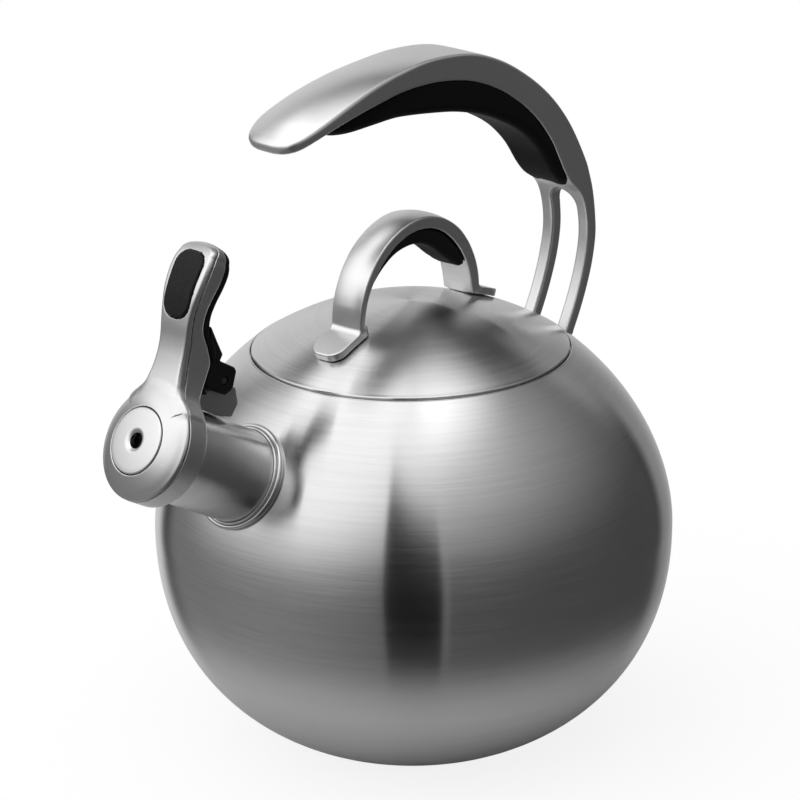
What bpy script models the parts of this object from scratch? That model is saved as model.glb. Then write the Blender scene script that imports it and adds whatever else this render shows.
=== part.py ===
"""Stovetop whistling kettle: round steel body, lift-off lid, C-shaped open
handle and a sprung whistle cap on the spout.

Frame: origin at the centre of the flat base, +Z up, the spout points along -X,
the handle is rooted at +X, and the whole kettle is symmetric about y = 0
(the lid may sit turned in its seat).  All dimensions below are in millimetres.
"""
import math

import bmesh
import bpy
from mathutils import Matrix, Vector

MM = 0.001
GAP = 0.3                       # air between touching pieces

# ---------------------------------------------------------------- body
BODY_R = 95.0                   # greatest radius
BODY_EQ_Z = 80.8                # height of the greatest radius
BODY_UP = (87.98, 1.86)         # upper half: semi-height, superellipse exponent
BODY_LOW = (86.45, 2.24)        # lower half
WALL = 0.9                      # sheet thickness
BASE_H = 3.0                    # encapsulated base disc
SEAM_R = 57.67                  # edge of the lid
SEAM_Z = 147.95
SEAT_Z = 145.2                  # ledge that the lid rests on
NECK_R = 53.2                   # inner radius of the neck under the ledge
NECK_Z = 140.5                  # lower end of the neck
SEGS = 48

# ---------------------------------------------------------------- lid
LID_RISE = 17.05                # apex above the seam
LID_TURN = math.radians(5.6)    # how far the lid sits turned in its seat
SKIRT_R = 51.6
SKIRT_Z = 138.6
LID_PLATE_Z = 146.4
LIDH_HALF_W = 7.2               # lid handle strap

# ---------------------------------------------------------------- spout
SPOUT_Z0 = 73.5                 # where the spout axis crosses the kettle's axis
SPOUT_EL = math.radians(29.5)   # elevation of the spout axis
TUBE_R = 16.8
TUBE_WALL = 0.9
TUBE_S0 = 90.6                  # inner end, along the axis
TUBE_S1 = 134.5                 # mouth
RING_R = 19.2                   # weld collar

# ---------------------------------------------------------------- whistle cap
CAP_R = 20.15
CAP_BACK_S = 132.5              # rear edge of the cap
CAP_SEAM_S = 141.1              # split between back ring and front shell
CAP_FRONT_S = 146.2             # plane round the whistle disc
DISC_R = 11.7
HOLE_R = 2.8
PIN_S, PIN_H = 123.4, 29.1      # hinge pin, along and above the spout axis
PIN_R = 1.25
PIN_HALF = 6.6
BLOCK_HALF_Y = 7.0

# ---------------------------------------------------------------- main handle
SLOT_HALF = 6.4                 # half the gap between the two legs
SLOT_TOP_Z = 190.3
FOOT_Y = 9.2                    # middle of each leg

D_SPOUT = (-math.cos(SPOUT_EL), math.sin(SPOUT_EL))
P_SPOUT = (math.sin(SPOUT_EL), math.cos(SPOUT_EL))


def clear_scene():
    for obj in list(bpy.data.objects):
        bpy.data.objects.remove(obj, do_unlink=True)
    for mesh in list(bpy.data.meshes):
        if mesh.users == 0:
            bpy.data.meshes.remove(mesh)


def material(name, color, rough, metal):
    mat = bpy.data.materials.new(name)
    mat.use_nodes = True
    shader = mat.node_tree.nodes["Principled BSDF"]
    shader.inputs["Base Color"].default_value = (*color, 1.0)
    shader.inputs["Roughness"].default_value = rough
    shader.inputs["Metallic"].default_value = metal
    mat.diffuse_color = (*color, 1.0)
    mat.roughness = rough
    mat.metallic = metal
    return mat


def spout_matrix(s=0.0, h=0.0):
    """Local X runs out along the spout, Z is square to it and up, at (s, h)."""
    dx, dz = D_SPOUT
    px, pz = P_SPOUT
    origin = Vector((s * dx + h * px, 0.0, SPOUT_Z0 + s * dz + h * pz)) * MM
    return Matrix(((dx, 0.0, px, origin.x),
                   (0.0, -1.0, 0.0, origin.y),
                   (dz, 0.0, pz, origin.z),
                   (0.0, 0.0, 0.0, 1.0)))


def finish(name, verts, faces, mat, matrix=None, smooth=32.0):
    """Closed mesh from millimetre points; faces are turned to point outwards."""
    bm = bmesh.new()
    bv = [bm.verts.new(Vector(v) * MM) for v in verts]
    for f in faces:
        if len(set(f)) >= 3:
            bm.faces.new([bv[i] for i in f])
    bmesh.ops.remove_doubles(bm, verts=bm.verts, dist=1e-7)
    bmesh.ops.recalc_face_normals(bm, faces=bm.faces)
    if bm.calc_volume(signed=True) < 0:
        bmesh.ops.reverse_faces(bm, faces=bm.faces)
    mesh = bpy.data.meshes.new(name)
    bm.to_mesh(mesh)
    bm.free()
    obj = bpy.data.objects.new(name, mesh)
    bpy.context.scene.collection.objects.link(obj)
    if matrix is not None:
        obj.matrix_world = matrix
    if mat is not None:
        mesh.materials.append(mat)
    mesh.shade_smooth()
    mesh.set_sharp_from_angle(angle=math.radians(smooth))
    return obj


def turned(name, profile, mat, segs=SEGS, matrix=None, along="Z", phase=0.0):
    """Closed profile of (radius, height) points turned round an axis.

    A profile that starts and ends at radius 0 makes a solid with poles."""
    verts, faces, rows = [], [], []
    for r, z in profile:
        if r < 1e-6:
            rows.append([len(verts)] * segs)
            verts.append((0.0, 0.0, z) if along == "Z" else (z, 0.0, 0.0))
            continue
        row = []
        for k in range(segs):
            a = phase + 2.0 * math.pi * k / segs
            row.append(len(verts))
            if along == "Z":
                verts.append((r * math.cos(a), r * math.sin(a), z))
            else:
                verts.append((z, r * math.sin(a), r * math.cos(a)))
        rows.append(row)
    closed = not (profile[0][0] < 1e-6 and profile[-1][0] < 1e-6)
    n = len(rows)
    for i in range(n if closed else n - 1):
        a, b = rows[i], rows[(i + 1) % n]
        for k in range(segs):
            m = (k + 1) % segs
            quad = [a[k], a[m], b[m], b[k]]
            clean = []
            for q in quad:
                if q not in clean:
                    clean.append(q)
            if len(clean) >= 3:
                faces.append(clean)
    return finish(name, verts, faces, mat, matrix)


def lofted(name, rings, mat, matrix=None, smooth=32.0, loop=False):
    """Rings of equal length joined in order, with flat end caps."""
    verts, faces = [], []
    n = len(rings[0])
    for ring in rings:
        verts.extend(ring)
    count = len(rings)
    for i in range(count if loop else count - 1):
        a, b = i * n, ((i + 1) % count) * n
        for k in range(n):
            m = (k + 1) % n
            faces.append([a + k, a + m, b + m, b + k])
    if not loop:
        for base in (0, (count - 1) * n):
            centre = len(verts)
            pts = verts[base:base + n]
            verts.append(tuple(sum(p[j] for p in pts) / n for j in range(3)))
            for k in range(n):
                faces.append([base + k, base + (k + 1) % n, centre])
    return finish(name, verts, faces, mat, matrix, smooth)


def spline(points, t):
    """Catmull-Rom through rows of numbers; t runs from 0 to len-1."""
    last = len(points) - 1
    i = min(int(t), last - 1)
    u = t - i
    p1, p2 = points[i], points[i + 1]
    p0 = points[i - 1] if i > 0 else [2 * a - b for a, b in zip(p1, p2)]
    p3 = points[i + 2] if i + 2 <= last else [2 * b - a for a, b in zip(p1, p2)]
    out = []
    for a, b, c, d in zip(p0, p1, p2, p3):
        out.append(0.5 * (2 * b + (c - a) * u + (2 * a - 5 * b + 4 * c - d) * u * u
                          + (3 * b - a - 3 * c + d) * u ** 3))
    return out


def sample(points, per_span):
    last = len(points) - 1
    steps = last * per_span
    return [spline(points, last * k / steps) for k in range(steps + 1)]


def cut(target, cutter, mode="DIFFERENCE"):
    """Boolean that stays on the object; the cutter is a wire guide."""
    cutter.hide_render = True
    cutter.display_type = "WIRE"
    mod = target.modifiers.new(mode.title() + "_" + cutter.name, "BOOLEAN")
    mod.operation = mode
    mod.object = cutter
    mod.solver = "EXACT"
    return mod


# ------------------------------------------------------------ profile helpers
def body_radius(z):
    if z >= BODY_EQ_Z:
        semi, power = BODY_UP
        t = (z - BODY_EQ_Z) / semi
    else:
        semi, power = BODY_LOW
        t = (BODY_EQ_Z - z) / semi
    return BODY_R * max(0.0, 1.0 - t ** power) ** (1.0 / power)


def body_z_above(r):
    semi, power = BODY_UP
    return BODY_EQ_Z + semi * (1.0 - (r / BODY_R) ** power) ** (1.0 / power)


def body_normal(z):
    e = 0.05
    dr = (body_radius(z + e) - body_radius(z - e)) / (2 * e)
    n = math.hypot(1.0, dr)
    return 1.0 / n, -dr / n


LID_SPHERE = (SEAM_R ** 2 + LID_RISE ** 2) / (2.0 * LID_RISE)


def lid_z(r, offset=0.0):
    """Height of the lid's dome, offset square to its surface."""
    radius = LID_SPHERE + offset
    return SEAM_Z + LID_RISE - LID_SPHERE + math.sqrt(radius ** 2 - r ** 2)


def body_surface_s(rho, phi):
    """Where a line beside the spout axis meets the body, along the axis."""
    ly, lh = rho * math.sin(phi), rho * math.cos(phi)
    lo, hi = 60.0, 120.0
    for _ in range(50):
        s = 0.5 * (lo + hi)
        x = s * D_SPOUT[0] + lh * P_SPOUT[0]
        z = SPOUT_Z0 + s * D_SPOUT[1] + lh * P_SPOUT[1]
        if math.hypot(x, ly) < body_radius(z):
            lo = s
        else:
            hi = s
    return lo


# ------------------------------------------------------------ body pieces
def make_body(mats):
    floor_z = BASE_H + GAP
    outer = []
    steps = 8
    for k in range(steps):                       # base up to the equator
        a = math.pi / 2 * k / steps
        z = floor_z + (BODY_EQ_Z - floor_z) * math.sin(a)
        outer.append((body_radius(z), z))
    top = 147.6
    steps = 10
    for k in range(steps + 1):                   # equator up to the lid's seat
        z = BODY_EQ_Z + (top - BODY_EQ_Z) * k / steps
        outer.append((body_radius(z), z))
    lip = SEAM_R + 0.38
    seat = [(lip, top - 0.35), (lip, SEAT_Z), (NECK_R, SEAT_Z), (NECK_R, NECK_Z),
            (NECK_R + WALL, NECK_Z), (NECK_R + WALL, SEAT_Z - WALL),
            (lip + WALL, SEAT_Z - WALL), (lip + WALL, 145.9)]
    inner = []
    steps = 11
    z_hi, z_lo = 145.0, floor_z + WALL
    for k in range(steps + 1):
        u = k / steps
        z = z_hi + (z_lo - z_hi) * (0.5 - 0.5 * math.cos(math.pi * u) if u > 0.5 else u)
        nr = body_normal(z)[0]
        inner.append((body_radius(z) - WALL / nr, z))
    profile = ([(0.0, floor_z)] + outer + seat + inner + [(0.0, z_lo)])
    body = turned("body_shell", profile, mats["body"])

    hole = turned("cut_spout_hole", [(0.0, 80.0), (TUBE_R + 0.5, 80.0),
                                     (TUBE_R + 0.5, 108.0), (0.0, 108.0)],
                  None, segs=48, matrix=spout_matrix(), along="X")
    cut(body, hole)
    for side, name in ((-1, "near"), (1, "far")):
        drill = turned("cut_foot_hole_" + name,
                       [(0.0, -6.0), (1.9, -6.0), (1.9, 6.0), (0.0, 6.0)],
                       None, segs=20, matrix=foot_matrix(side))
        cut(body, drill)
    return body


def make_base(mats):
    profile = [(0.0, 0.0), (body_radius(0.0) - 1.2, 0.0), (body_radius(0.0) + 0.2, 0.6)]
    for z in (1.4, 2.2, BASE_H):
        profile.append((body_radius(z), z))
    profile.append((0.0, BASE_H))
    return turned("base_disc", profile, mats["base"])


# ------------------------------------------------------------ spout pieces
def make_spout(mats):
    r_in = TUBE_R - TUBE_WALL
    tube = turned("spout_tube",
                  [(TUBE_R, TUBE_S0), (TUBE_R, 112.0), (TUBE_R, TUBE_S1 - 0.3),
                   (TUBE_R - 0.3, TUBE_S1), (r_in, TUBE_S1), (r_in, 112.0), (r_in, TUBE_S0)],
                  mats["spout"], segs=40, matrix=spout_matrix(), along="X")
    rings = []
    n = 40
    for k in range(n):
        phi = 2 * math.pi * k / n
        c, s = math.cos(phi), math.sin(phi)
        low_in = body_surface_s(TUBE_R + 0.6, phi) + GAP
        low_out = body_surface_s(RING_R, phi) + GAP
        section = [(TUBE_R + 0.32, low_in), (RING_R - 0.2, low_out),
                   (RING_R, low_out + 0.9), (RING_R - 0.9, low_out + 1.7),
                   (TUBE_R + 0.8, low_in + 2.3), (TUBE_R + 0.32, low_in + 1.9)]
        rings.append([(along, r * s, r * c) for r, along in section])
    ring = lofted("spout_collar", rings, mats["spout"], matrix=spout_matrix(), loop=True)
    return tube, ring


def make_bracket(mats):
    """Saddle on the spout with two lugs for the hinge pin, cut from one slab."""
    h0 = TUBE_R + GAP
    side = [(112.4, h0 + 1.3), (117.5, h0 + 0.1), (129.3, h0 + 0.1), (129.3, 22.4),
            (127.2, 22.7), (126.6, PIN_H - 1.2), (125.2, PIN_H + 2.2), (123.4, PIN_H + 3.0),
            (121.4, PIN_H + 2.2), (120.2, PIN_H - 0.9), (115.4, PIN_H - 0.9), (111.8, 23.5)]
    rings = []
    for y in (-4.6, 4.6):
        rings.append([(s - PIN_S, y, h - PIN_H) for s, h in side])
    bracket = lofted("spout_bracket", rings, mats["cap"],
                     matrix=spout_matrix(PIN_S, PIN_H), smooth=25)
    slot = lofted("cut_bracket_slot",
                  [[(-5.2, y, -5.9), (5.4, y, -5.9), (5.4, y, 5.0), (-5.2, y, 5.0)]
                   for y in (-3.0, 3.0)], None, matrix=spout_matrix(PIN_S, PIN_H))
    cut(bracket, slot)
    saddle = turned("cut_bracket_saddle",
                    [(0.0, 100.0), (TUBE_R + 0.3, 100.0), (TUBE_R + 0.3, 140.0), (0.0, 140.0)],
                    None, segs=96, matrix=spout_matrix(), along="X")
    cut(bracket, saddle)
    bore = turned("cut_bracket_bore", [(0.0, -12.0), (PIN_R + 0.3, -12.0),
                                       (PIN_R + 0.3, 12.0), (0.0, 12.0)],
                  None, segs=24, matrix=pin_matrix())
    cut(bracket, bore)
    return bracket


def pin_matrix():
    """Local Z along the hinge axis (world Y), origin on the pin's middle."""
    m = spout_matrix(PIN_S, PIN_H)
    return m @ Matrix.Rotation(math.pi / 2, 4, "X")


def make_pin(mats):
    z = PIN_HALF
    profile = [(0.0, -z), (PIN_R - 0.2, -z), (PIN_R, -z + 0.2),
               (PIN_R, z - 0.2), (PIN_R - 0.2, z), (0.0, z)]
    return turned("hinge_pin", profile, mats["pin"], segs=16, matrix=pin_matrix())


def make_spring(mats):
    """Torsion spring round the pin between the bracket's lugs."""
    wire, coil, turns, half = 0.38, 2.15, 3.5, 1.9
    path = []
    steps = 42
    start = math.radians(-100.0)
    total = turns * 2 * math.pi
    path.append((coil * math.cos(start) - 3.0 * math.sin(start) * -1.0,
                 coil * math.sin(start) - 3.0 * math.cos(start), -half))
    for k in range(steps + 1):
        a = start + total * k / steps
        path.append((coil * math.cos(a), coil * math.sin(a), -half + 2 * half * k / steps))
    end = start + total
    ex, ey = coil * math.cos(end), coil * math.sin(end)
    path.append((ex - 2.4 * math.sin(end), ey + 2.4 * math.cos(end), half))
    rings = []
    for i, p in enumerate(path):
        a = Vector(path[max(0, i - 1)])
        b = Vector(path[min(len(path) - 1, i + 1)])
        tangent = (b - a).normalized()
        side = tangent.cross(Vector((0, 0, 1))).normalized()
        up = side.cross(tangent).normalized()
        rings.append([tuple(Vector(p) + wire * (math.cos(q) * side + math.sin(q) * up))
                      for q in (2 * math.pi * j / 5 for j in range(5))])
    return lofted("torsion_spring", rings, mats["pin"], matrix=pin_matrix(), smooth=60)


# ------------------------------------------------------------ whistle cap
# Lever outline in the spout's (s, h) plane, from the cap up to the finger end:
# front face, split line between the two castings, rear face, cover's rear face,
# and half the lever's width.
LEVER = [
    # h,    front, split, rear,  cover, half width
    (14.0, 144.2, 141.1, 134.0, 134.0, 14.0),
    (16.0, 144.3, 141.1, 133.5, 133.5, 12.2),
    (18.0, 144.3, 141.1, 133.2, 133.2, 10.2),
    (20.0, 144.3, 141.1, 132.8, 132.8, 9.1),
    (22.5, 144.4, 141.2, 132.4, 132.4, 8.3),
    (25.5, 144.6, 141.5, 132.1, 132.1, 7.7),
    (29.0, 145.0, 142.2, 132.0, 132.0, 7.35),
    (33.0, 145.7, 143.2, 132.4, 132.1, 7.2),
    (37.0, 146.8, 144.5, 135.5, 132.3, 7.3),
    (42.0, 148.6, 146.5, 140.6, 137.4, 7.6),
    (47.0, 150.0, 148.0, 142.7, 140.0, 8.2),
    (52.0, 150.9, 148.9, 143.3, 140.8, 9.0),
    (58.0, 151.2, 149.1, 142.8, 140.4, 9.5),
    (63.0, 150.9, 148.9, 142.6, 140.3, 9.4),
    (66.5, 150.2, 148.2, 142.9, 140.9, 8.4),
    (69.0, 149.0, 147.3, 143.5, 141.9, 6.4),
    (70.5, 147.6, 146.5, 144.4, 143.2, 3.2),
]


def lever_rings(lo, hi, shrink_w=0.0, h_from=None, h_to=None, per_span=1):
    """Rings of a strip of the lever between two of its outline columns."""
    rows = [[row[0], row[lo], row[hi], row[5]] for row in LEVER]
    out = []
    for h, a, b, w in sample(rows, per_span):
        if h_from is not None and h < h_from:
            continue
        if h_to is not None and h > h_to:
            continue
        out.append((h, a, b, max(0.8, w - shrink_w)))
    return out


def rounded_section(h, s_back, s_front, w, bow=0.0, rim=0.0):
    """Eight-point section, the front crowned by bow and its rim eased by rim."""
    pts = [(s_back, -w), (s_back, w), (s_front - rim, w),
           (s_front - rim * 0.35, w - rim * 0.7), (s_front, w * 0.55),
           (s_front + bow, 0.0), (s_front, -w * 0.55),
           (s_front - rim * 0.35, -w + rim * 0.7), (s_front - rim, -w)]
    return [(s - PIN_S, y, h - PIN_H) for s, y in pts]


def make_cap(mats):
    m = spout_matrix(PIN_S, PIN_H)

    # back ring round the spout's mouth; its web carries the seal and the whistle
    back_profile = [(17.6, CAP_BACK_S), (CAP_R - 0.4, CAP_BACK_S), (CAP_R, CAP_BACK_S + 0.4),
                    (CAP_R, CAP_SEAM_S - 0.15), (12.6, CAP_SEAM_S - 0.15),
                    (12.6, 137.7), (17.6, 137.7)]
    back = turned("cap_back", back_profile, mats["cap_side"], segs=40,
                  matrix=spout_matrix(), along="X")
    set_origin(back, m)
    rows = lever_rings(3, 2, h_from=14.0)
    rings = [rounded_section(h, a, b - 0.15, w) for h, a, b, w in rows]
    stem = lofted("join_cap_back_stem", rings, None, matrix=m)
    cut(back, stem, "UNION")
    clear_bore = turned("cut_cap_bore", [(0.0, 126.0), (17.6, 126.0), (17.6, 137.7), (0.0, 137.7)],
                        None, segs=48, matrix=spout_matrix(), along="X")
    cut(back, clear_bore)
    mouth = turned("cut_cap_mouth", [(0.0, 137.0), (12.6, 137.0), (12.6, 143.5), (0.0, 143.5)],
                   None, segs=48, matrix=spout_matrix(), along="X")
    cut(back, mouth)

    # front shell: a dome with an eased edge and the lever's face in one casting
    face = [(DISC_R + 0.35, CAP_SEAM_S + 0.15), (CAP_R - 0.1, CAP_SEAM_S + 0.15),
            (CAP_R - 0.45, CAP_SEAM_S + 0.8), (CAP_R - 1.35, CAP_SEAM_S + 1.65),
            (CAP_R - 3.0, CAP_SEAM_S + 2.75), (CAP_R - 5.1, CAP_SEAM_S + 3.85),
            (DISC_R + 0.8, CAP_FRONT_S - 0.1), (DISC_R + 0.35, CAP_FRONT_S - 0.2)]
    shell = turned("cap_shell", face, mats["cap"], segs=40, matrix=spout_matrix(), along="X")
    set_origin(shell, m)
    rows = lever_rings(2, 1, h_from=14.0)
    rings = [rounded_section(h, a + 0.15, b, w, bow=0.35, rim=min(1.6, (b - a) * 0.6))
             for h, a, b, w in rows]
    stem2 = lofted("join_cap_shell_stem", rings, None, matrix=m)
    cut(shell, stem2, "UNION")
    port = turned("cut_shell_port", [(0.0, 138.0), (DISC_R + 0.35, 138.0),
                                     (DISC_R + 0.35, 150.0), (0.0, 150.0)],
                  None, segs=48, matrix=spout_matrix(), along="X")
    cut(shell, port)
    recess = lofted("cut_pad_recess",
                    pad_rings(142.0, 158.0, grow=0.3, floor=0.9), None, matrix=m)
    cut(shell, recess)
    return back, shell


PAD = (43.2, 66.6, 7.0)         # finger pad: lowest and highest h, half width


def pad_rings(s_min, s_max, grow=0.0, floor=0.0, n=12):
    """Pill-shaped pad outline as rings of constant h across the lever's face."""
    lo, hi, w = PAD
    lo, hi, w = lo - grow, hi + grow, w + grow
    rows = [[row[0], row[1]] for row in LEVER]
    fine = sample(rows, 8)

    def front(h):
        return min(fine, key=lambda q: abs(q[0] - h))[1]
    rings = []
    for k in range(n + 1):
        h = lo + (hi - lo) * (0.5 - 0.5 * math.cos(math.pi * k / n))
        d = min(h - lo, hi - h)
        corner = 5.2
        half = w if d >= corner else w - corner + math.sqrt(max(0.0, corner ** 2 - (corner - d) ** 2))
        half = max(half, 0.35 * w)
        half *= 1.0 if h > 52 else 1.0 - 0.012 * (52 - h)
        f = front(h)
        back = f - floor if floor else f - 0.6
        top = s_max if floor else f + 0.75
        rings.append([(back - PIN_S, -half, h - PIN_H), (back - PIN_S, half, h - PIN_H),
                      (top - 0.35 - PIN_S, half, h - PIN_H), (top - PIN_S, half * 0.6, h - PIN_H),
                      (top - PIN_S, -half * 0.6, h - PIN_H),
                      (top - 0.35 - PIN_S, -half, h - PIN_H)])
    return rings


def make_pad(mats):
    return lofted("lever_pad", pad_rings(0, 0, grow=0.0, floor=0.0), mats["rubber"],
                  matrix=spout_matrix(PIN_S, PIN_H), smooth=40)


def make_cover(mats):
    """Black moulding on the lever's back that ends in the hinge ears."""
    m = spout_matrix(PIN_S, PIN_H)
    rows = [[row[0], row[4], row[3], row[5]] for row in LEVER]
    rings = []
    for h, a, b, w in sample(rows, 2):
        if h < 34.9:
            continue
        b = b - GAP
        a = min(a, b - 0.5)
        rings.append(rounded_section(h, a, b, max(1.2, w - 0.5)))
    strip = lofted("lever_cover", rings, mats["black"], matrix=m)
    y = BLOCK_HALF_Y
    outline = [(130.5, 24.3), (131.4, 26.0), (131.6, 30.0), (132.0, 33.2), (133.9, 36.2),
               (135.0, 38.0), (133.2, 39.4), (130.6, 38.6), (128.7, 37.2), (128.7, 34.9), (121.2, 34.6),
               (119.9, 33.6), (118.7, 28.0), (119.2, 26.6), (120.9, 24.6)]
    block = lofted("join_cover_block",
                   [[(s - PIN_S, q, h - PIN_H) for s, h in outline] for q in (-y, y)],
                   None, matrix=m, smooth=25)
    cut(strip, block, "UNION")
    pocket = lofted("cut_cover_pocket",
                    [[(s - PIN_S, q, h - PIN_H) for s, h in
                      [(112.0, 15.0), (129.6, 15.0), (129.6, 29.8), (127.4, 32.7), (112.0, 32.7)]]
                     for q in (-4.95, 4.95)], None, matrix=m)
    cut(strip, pocket)
    bore = turned("cut_cover_bore", [(0.0, -12.0), (PIN_R + 0.3, -12.0),
                                     (PIN_R + 0.3, 12.0), (0.0, 12.0)],
                  None, segs=24, matrix=pin_matrix())
    cut(strip, bore)
    return strip


def set_origin(obj, matrix):
    """Moves the object's origin to a frame without moving its shape."""
    local = matrix.inverted() @ obj.matrix_world
    obj.data.transform(local)
    obj.matrix_world = matrix


def make_whistle(mats):
    m = spout_matrix(PIN_S, PIN_H)
    s = CAP_FRONT_S
    disc = turned("whistle_disc",
                  [(HOLE_R, s - 1.4), (DISC_R, s - 1.4), (DISC_R, s + 0.1),
                   (DISC_R - 0.9, s + 0.75), (6.0, s + 1.0), (HOLE_R, s + 0.1)],
                  mats["disc"], segs=40, matrix=spout_matrix(), along="X")
    set_origin(disc, m)
    # chamber cup behind the disc: a floor with the second hole and a low wall
    cup = turned("whistle_chamber",
                 [(1.6, 139.2), (12.2, 139.2), (12.2, s - 1.4 - GAP), (9.8, s - 1.4 - GAP),
                  (9.0, 140.2), (1.6, 140.2)],
                 mats["base"], segs=32, matrix=spout_matrix(), along="X")
    trim_r = DISC_R - 0.15
    for v in cup.data.vertices:                  # the cup passes the shell's port
        rr = math.hypot(v.co.y, v.co.z) / MM
        if rr > trim_r:
            v.co.y *= trim_r / rr
            v.co.z *= trim_r / rr
    set_origin(cup, m)
    seal = turned("cap_seal",
                  [(12.9, TUBE_S1 + GAP), (17.2, TUBE_S1 + GAP), (17.2, 137.4), (12.9, 137.4)],
                  mats["rubber"], segs=36, matrix=spout_matrix(), along="X")
    set_origin(seal, m)
    return disc, cup, seal


# ------------------------------------------------------------ lid
def make_lid(mats):
    turn = Matrix.Rotation(LID_TURN, 4, "Z")
    edge = SEAM_R - 0.12
    outer, inner = [], []
    steps = 6
    for k in range(steps + 1):
        r = edge * k / steps
        outer.append((r, lid_z(r)))
    for k in range(steps, -1, -1):
        r = (edge - 1.05) * k / steps
        inner.append((r, lid_z(r, -WALL)))
    profile = outer + [(edge, SEAT_Z + GAP), (edge - 1.0, SEAT_Z + GAP)] + inner
    dome = turned("lid_dome", profile, mats["lid"], matrix=turn)
    plate = LID_PLATE_Z
    skirt = turned("lid_skirt",
                   [(0.0, plate), (edge - 1.4, plate), (edge - 1.4, plate - 0.8),
                    (SKIRT_R, plate - 0.8), (SKIRT_R, SKIRT_Z), (SKIRT_R - 0.8, SKIRT_Z),
                    (SKIRT_R - 0.8, plate - 0.8), (0.0, plate - 0.8)],
                   mats["lid"], matrix=turn)
    seal = turned("lid_seal",
                  [(SKIRT_R + GAP, 140.0), (NECK_R - 0.35, 140.6), (NECK_R - 0.35, 143.2),
                   (SKIRT_R + GAP, 143.8)],
                  mats["silicone"], matrix=turn)
    for x, name in ((LIDH_SCREW[1], "rear"), (LIDH_SCREW[-1], "front")):
        drill = turned("cut_lid_hole_" + name,
                       [(0.0, -6.0), (1.9, -6.0), (1.9, 6.0), (0.0, 6.0)], None, segs=20,
                       matrix=lid_foot_matrix(x))
        cut(dome, drill)
    return dome, skirt, seal


LIDH_SCREW = {-1: -40.0, 1: 36.6}  # the two lid-handle screws

# Lid handle centre section in its own plane: outer (x, z), inner (x, z)
LIDH_MID = -1.6                 # the handle's middle, along its own plane
LIDH_HALF = [                   # outer (x, z), inner (x, z), foot to crown
    ((32.7, 163.0), (28.6, 161.6)),
    ((32.1, 169.0), (27.5, 168.4)),
    ((30.2, 175.6), (25.5, 174.6)),
    ((26.5, 182.6), (22.0, 180.6)),
    ((20.9, 189.0), (17.0, 186.0)),
    ((13.4, 193.8), (11.0, 190.2)),
    ((4.5, 196.6), (3.7, 192.6)),
]
LIDH_THIN = (2.0, 2.1, 2.0, 1.7, 1.3, 0.7, 0.2)   # the front leg is slimmer by this much
LIDH_ARCH = ([((LIDH_MID - ox, oz), (LIDH_MID - ix - 0.93 * thin, iz + 0.37 * thin))
              for ((ox, oz), (ix, iz)), thin in zip(LIDH_HALF, LIDH_THIN)]
             + [tuple((LIDH_MID + x, z) for x, z in pair) for pair in reversed(LIDH_HALF)])
TOE_END = {-1: 46.2, 1: 42.6}   # outer ends of the front and rear toes


def lid_foot_matrix(x):
    """On the dome at radius |x| in the lid handle's plane, Z along the normal."""
    r = abs(x)
    n = Vector((math.copysign(r / LID_SPHERE, x), 0.0, math.sqrt(1 - (r / LID_SPHERE) ** 2)))
    u = Vector((0.0, 1.0, 0.0)).cross(n).normalized()
    v = n.cross(u)
    p = Vector((x, 0.0, lid_z(r))) * MM
    m = Matrix(((u.x, v.x, n.x, p.x), (u.y, v.y, n.y, p.y), (u.z, v.z, n.z, p.z), (0, 0, 0, 1)))
    return Matrix.Rotation(LID_TURN, 4, "Z") @ m


def strap_ring(outer, inner, w, crown=0.9, ease=0.9):
    """Crowned strap section: outer and inner are (x, z) on the middle plane."""
    ox, oz = outer
    ix, iz = inner
    d = math.hypot(ox - ix, oz - iz)
    nx, nz = (ox - ix) / d, (oz - iz) / d
    pts = [(-w, 0.0), (w, 0.0), (w, d * 0.55), (w - ease * 0.3, d - crown - 0.1 * ease),
           (w - ease, d - crown + 0.25), (w * 0.5, d - crown * 0.3), (0.0, d),
           (-w * 0.5, d - crown * 0.3), (-w + ease, d - crown + 0.25),
           (-w + ease * 0.3, d - crown - 0.1 * ease), (-w, d * 0.55)]
    return [(ix + nx * q, y, iz + nz * q) for y, q in pts]


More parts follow.
